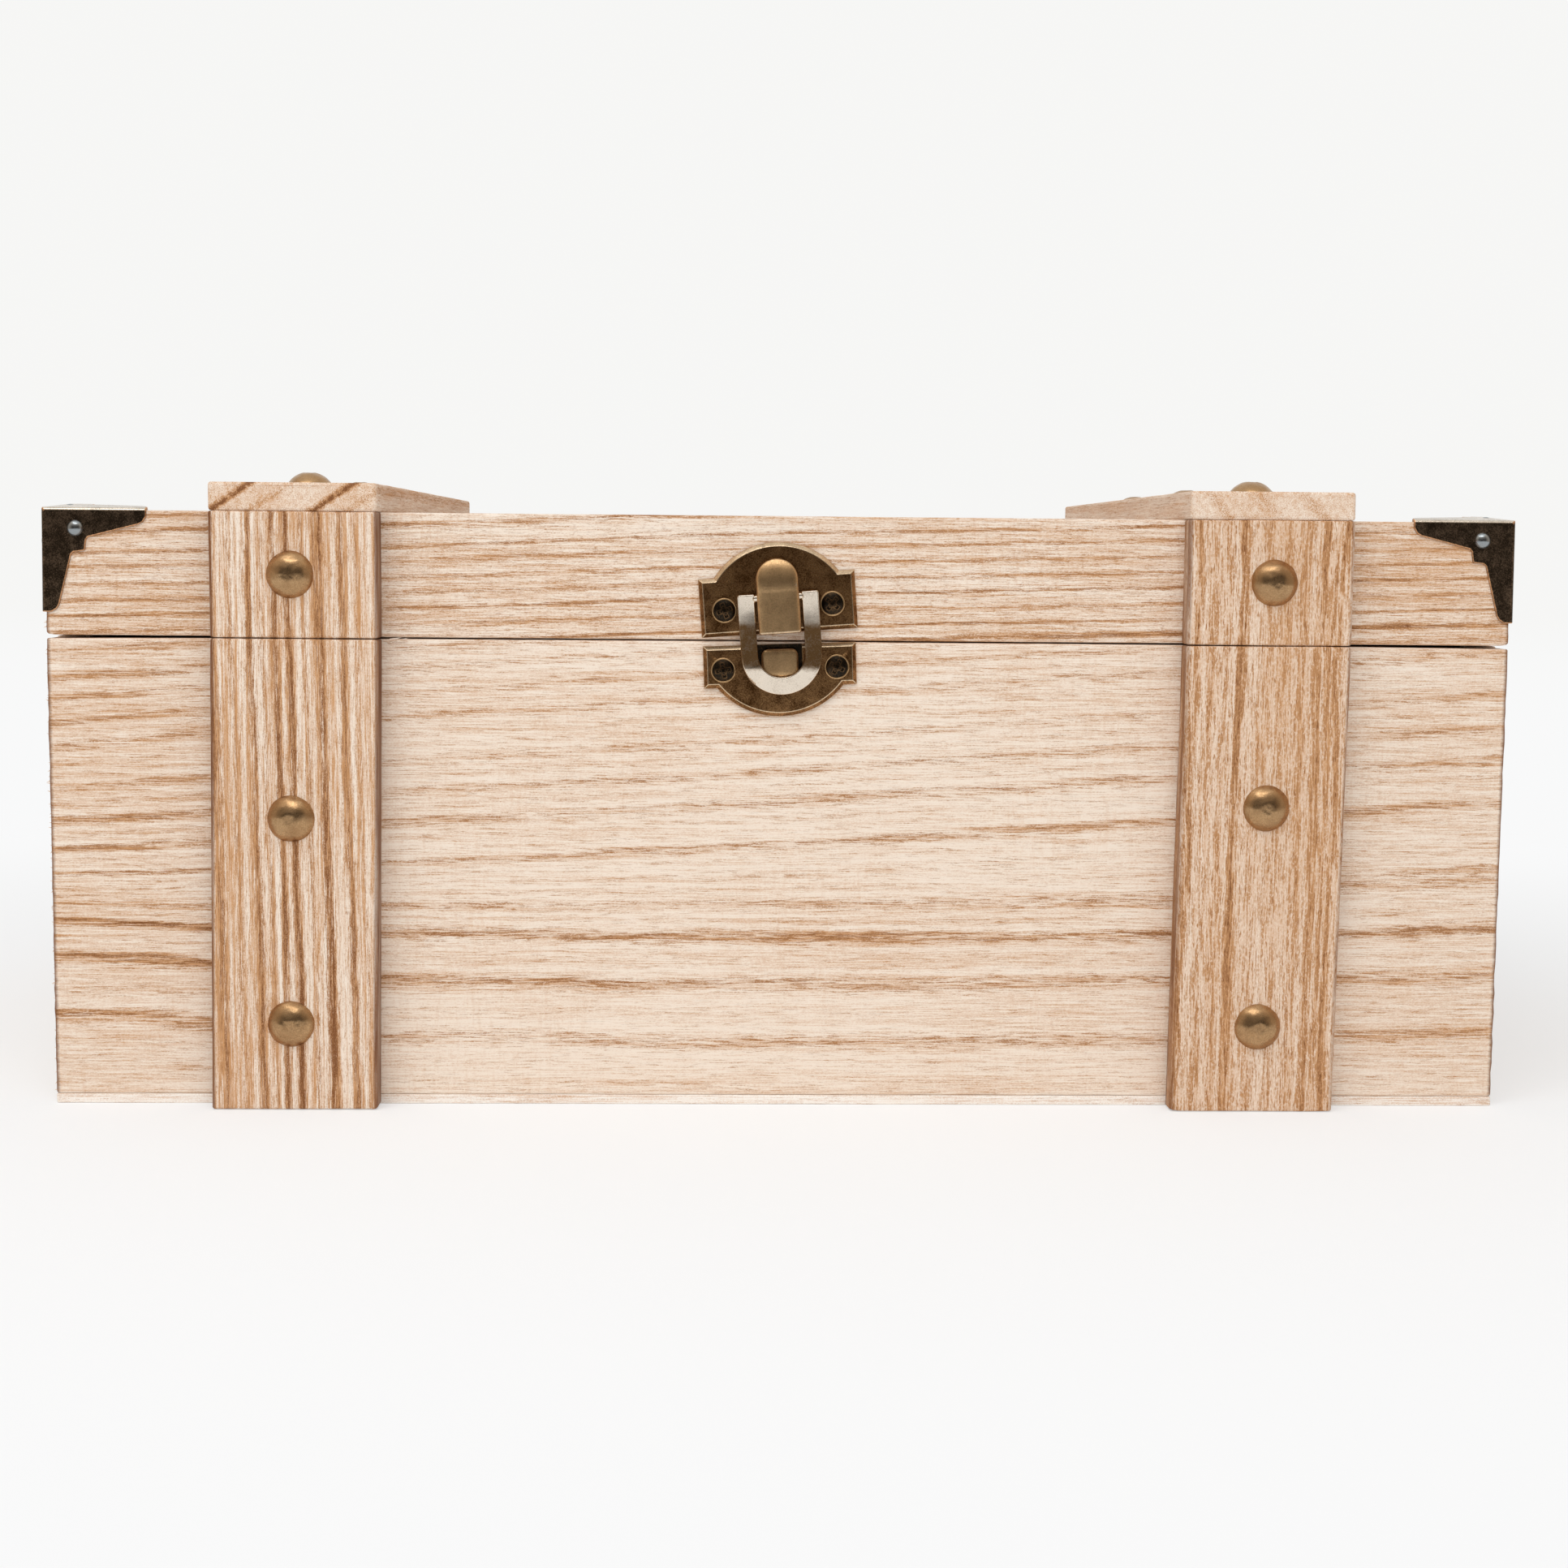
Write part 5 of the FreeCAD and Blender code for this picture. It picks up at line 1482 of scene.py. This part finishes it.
CLASP_SCREW = {"Head Width": 5.3 * MM, "Head Height": 0.75 * MM, "Slot Length": 3.7 * MM,
               "Slot Width": 0.95 * MM, "Slot Depth": 0.7 * MM}
HINGE_SCREW = {"Head Width": 4.4 * MM, "Head Height": 0.8 * MM, "Slot Length": 2.9 * MM,
               "Slot Width": 0.7 * MM, "Slot Depth": 0.6 * MM}
EYELET = {"Rim Width": 6.1 * MM, "Rim Thickness": 0.42 * MM}
# Clasp screws: piece, plate, place across and up it in mm, turns of the left and right head, CAD node
CLASP_SCREWS = (
    ("clasp_top", LATCH_SEAT, 13.1, 6.3, (0.35, 0.9), "latch_plate_screws"),
    ("clasp_hook", HOOK_SEAT, 13.8, -5.9, (0.2, 1.1), "hook_plate_screws"))
# How far the clasp plates' faces stand out of the front
PLATE_FACE = 1.6 * MM
# Hinge leaves in mm: how far their faces stand out of the back, and their screws from a leaf's middle
LEAF_FACE, LEAF_SCREW_REACH = 0.9, 9.0


class CHEST_OT_screws(bpy.types.Operator):
    """Drives the cross-head screws of clasp and hinges"""

    bl_idname = "chest.screws"
    bl_label = "Drive the screws"

    def execute(self, context):
        tree, rims = screw_tree(), eyelet_tree()
        values = {**CLASP_SCREW, "Finish": finish_material("dark_screws")}
        rim_values = {**EYELET, "Finish": finish_material("lever_bronze")}
        for name, plate, across, up, spins, node in CLASP_SCREWS:
            seats = [(on_plate(plate, side * across * MM, PLATE_FACE, up * MM) / MM, FORWARD, spin)
                     for side, spin in zip((-1, 1), spins)]
            planted(name + "_screws", tree, seats, values, body_of(node), [node])
            planted(name + "_eyelets", rims, seats, rim_values, body_of(node))
        values = {**HINGE_SCREW, "Finish": finish_material("antique_brass")}
        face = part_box("back_panel")[1].y / MM + LEAF_FACE
        places = [middle_of(f"hinge_{side}_lower_leaf").x / MM + reach
                  for side in ("left", "right") for reach in (-LEAF_SCREW_REACH, LEAF_SCREW_REACH)]
        for name, node in (
                ("hinge_box_screws", "hinge_lower_screws"), ("hinge_lid_screws", "hinge_upper_screws")):
            seats = [((x, face, middle_of(node).z / MM), BACKWARD, x) for x in places]
            planted(name, tree, seats, values, body_of(node), [node])
        return {"FINISHED"}


# Floor: its radius and, in metres from the chest, where its glow starts, is full and meets the backdrop
FLOOR_RADIUS = 6.0
GLOW_START, GLOW_FULL, BACKDROP_FULL = 0.12, 0.5, 5.0
# Dim card: radius and height in metres, first angle and sweep in degrees, number of facets and tint
CARD_RADIUS, CARD_HEIGHT = 1.0, 1.5
CARD_FIRST_ANGLE, CARD_SWEEP, CARD_FACETS = -195.0, 210.0, 24
CARD_TINT = (1.0, 0.86, 0.72)
FILL_TINT = (1.0, 0.995, 0.985)
# Key light in metres: place, aim, width and height
KEY_PLACE, KEY_AIM = Vector((-0.25, -0.95, 1.35)), Vector((0.0, 0.0, 0.08))
KEY_WIDTH, KEY_HEIGHT = 1.8, 1.1
# Camera: place, turns about the upright, the right and the view axis in degrees, sensor in mm, near limit
CAMERA_PLACE = Vector((-15.3713, -659.735, 136.690)) * MM
CAMERA_YAW, CAMERA_PITCH, CAMERA_ROLL = -1.59899, -5.75284, -0.50767
SENSOR_WIDTH = 36.0
NEAR_LIMIT = 10.0 * MM


class CHEST_OT_stage(bpy.types.Operator):
    """Lays the floor and sets light and camera"""

    bl_idname = "chest.stage"
    bl_label = "Set the stage"

    def execute(self, context):
        stage = context.scene.chest_stage
        self.lay_floor(stage)
        self.hang_dim_card()
        self.light(context.scene, stage)
        self.aim(context.scene, stage)
        context.scene.view_settings.view_transform = "Standard"
        return {"FINISHED"}

    def lay_floor(self, stage):
        """A matt floor that takes the chest's shadow and glows evenly farther off."""
        bm = bmesh.new()
        bmesh.ops.create_circle(bm, cap_ends=True, segments=96, radius=FLOOR_RADIUS)
        floor = linked("floor", mesh_from(bm, "floor"))
        material = bpy.data.materials.new("pale_floor")
        w = bare_nodes(material)
        where = w.add("ShaderNodeTexCoord").outputs["Object"]
        from_chest = w.vector("LENGTH", w.vector("MULTIPLY", where, (0.75, 1.0, 1.0)))
        far = w.span(from_chest, GLOW_START, GLOW_FULL, 0.4, 1.0)
        backdrop = w.span(from_chest, GLOW_FULL, BACKDROP_FULL)
        tone = w.blend(backdrop, opaque(stage.floor), opaque(stage.backdrop))
        matt = w.give("ShaderNodeBsdfDiffuse", {"Color": opaque(stage.floor)})
        glow = w.give("ShaderNodeEmission", {"Color": tone, "Strength": 1.0})
        both = w.give("ShaderNodeMixShader", {0: w.times(far, w.seen()), 1: matt, 2: glow})
        w.add("ShaderNodeOutputMaterial", {"Surface": both})
        floor.data.materials.append(material)

    def hang_dim_card(self):
        """A curved card behind the camera that only polished metal sees: a dim room, brighter higher up."""
        count = CARD_FACETS + 1
        turns = [math.radians(CARD_FIRST_ANGLE + CARD_SWEEP * i / CARD_FACETS) for i in range(count)]
        points = [(CARD_RADIUS * math.cos(turn), CARD_RADIUS * math.sin(turn), z)
                  for z in (0.0, CARD_HEIGHT) for turn in turns]
        mesh = bpy.data.meshes.new("dim_card")
        mesh.from_pydata(points, [], [(i, i + 1, i + 1 + count, i + count) for i in range(CARD_FACETS)])
        card = linked("dim_card", mesh)
        material = bpy.data.materials.new("card_dim")
        w = bare_nodes(material)
        across, _, height = w.parts(w.add("ShaderNodeTexCoord").outputs["Object"])
        sides = w.span(w.calc("ABSOLUTE", across), 0.60 * CARD_RADIUS, CARD_RADIUS, 0.0, 0.5)
        strength = w.plus(w.span(height, 0.2 * CARD_HEIGHT, CARD_HEIGHT, 0.075, 0.5), sides)
        glow = w.give("ShaderNodeEmission", {"Color": opaque(CARD_TINT), "Strength": strength})
        w.add("ShaderNodeOutputMaterial", {"Surface": glow})
        mesh.materials.append(material)
        card.visible_camera = False
        card.visible_diffuse = False
        card.visible_shadow = False

    def light(self, scene, stage):
        """An even fill from all sides behind a pale backdrop, and a large soft key above the front."""
        scene.world = bpy.data.worlds.new("pale_room")
        w = bare_nodes(scene.world)
        fill = w.give("ShaderNodeBackground", {"Color": opaque(FILL_TINT), "Strength": stage.sky})
        drop = w.give("ShaderNodeBackground", {"Color": opaque(stage.backdrop), "Strength": 1.0})
        both = w.give("ShaderNodeMixShader", {0: w.seen(), 1: fill, 2: drop})
        w.add("ShaderNodeOutputWorld", {"Surface": both})
        lamp = bpy.data.lights.new("key_light", "AREA")
        lamp.shape = "RECTANGLE"
        lamp.size = KEY_WIDTH
        lamp.size_y = KEY_HEIGHT
        lamp.energy = stage.key
        key = linked("key_light", lamp)
        key.location = KEY_PLACE
        key.rotation_euler = (KEY_AIM - KEY_PLACE).to_track_quat("-Z", "Y").to_euler()

    def aim(self, scene, stage):
        """The camera of the front view."""
        data = bpy.data.cameras.new("camera")
        data.lens = stage.lens
        data.sensor_width = SENSOR_WIDTH
        data.clip_start = NEAR_LIMIT
        yaw, pitch, roll = (Matrix.Rotation(math.radians(turn), 3, axis) for turn, axis in (
            (CAMERA_YAW, "Z"), (CAMERA_PITCH, "X"), (CAMERA_ROLL, "Y")))
        turned = yaw @ pitch @ roll
        right, ahead, up = turned.col
        axes = Matrix((right, up, -ahead)).transposed()
        camera = linked("camera", data)
        camera.matrix_world = Matrix.Translation(CAMERA_PLACE) @ axes.to_4x4()
        scene.camera = camera


class CHEST_PT_panel(bpy.types.Panel):
    """Steps and values of the keepsake chest"""

    bl_idname = "CHEST_PT_panel"
    bl_label = "Keepsake chest"
    bl_space_type = "VIEW_3D"
    bl_region_type = "UI"
    bl_category = "Chest"

    def draw(self, context):
        for step in STEPS:
            self.layout.operator(step.bl_idname)
        for name, group in GROUPS.items():
            column = self.layout.column(align=True)
            for key in group.__annotations__:
                column.prop(getattr(context.scene, name), key)


GROUPS = {"chest_wood": ChestWood, "chest_metal": ChestMetal, "chest_stage": ChestStage}
STEPS = (CHEST_OT_boards, CHEST_OT_slivers, CHEST_OT_straps, CHEST_OT_dome_nails, CHEST_OT_brackets,
         CHEST_OT_clasp, CHEST_OT_hinges, CHEST_OT_screws, CHEST_OT_stage)
CLASSES = (*GROUPS.values(), *STEPS, CHEST_PT_panel)


def register():
    for item in CLASSES:
        bpy.utils.register_class(item)
    for name, group in GROUPS.items():
        setattr(bpy.types.Scene, name, bpy.props.PointerProperty(type=group))


def unregister():
    for name in GROUPS:
        delattr(bpy.types.Scene, name)
    for item in reversed(CLASSES):
        bpy.utils.unregister_class(item)


def main():
    register()
    bpy.ops.chest.boards()
    bpy.ops.chest.slivers()
    bpy.ops.chest.straps()
    bpy.ops.chest.dome_nails()
    bpy.ops.chest.brackets()
    bpy.ops.chest.clasp()
    bpy.ops.chest.hinges()
    bpy.ops.chest.screws()
    bpy.ops.chest.stage()


if __name__ == "__main__":
    main()
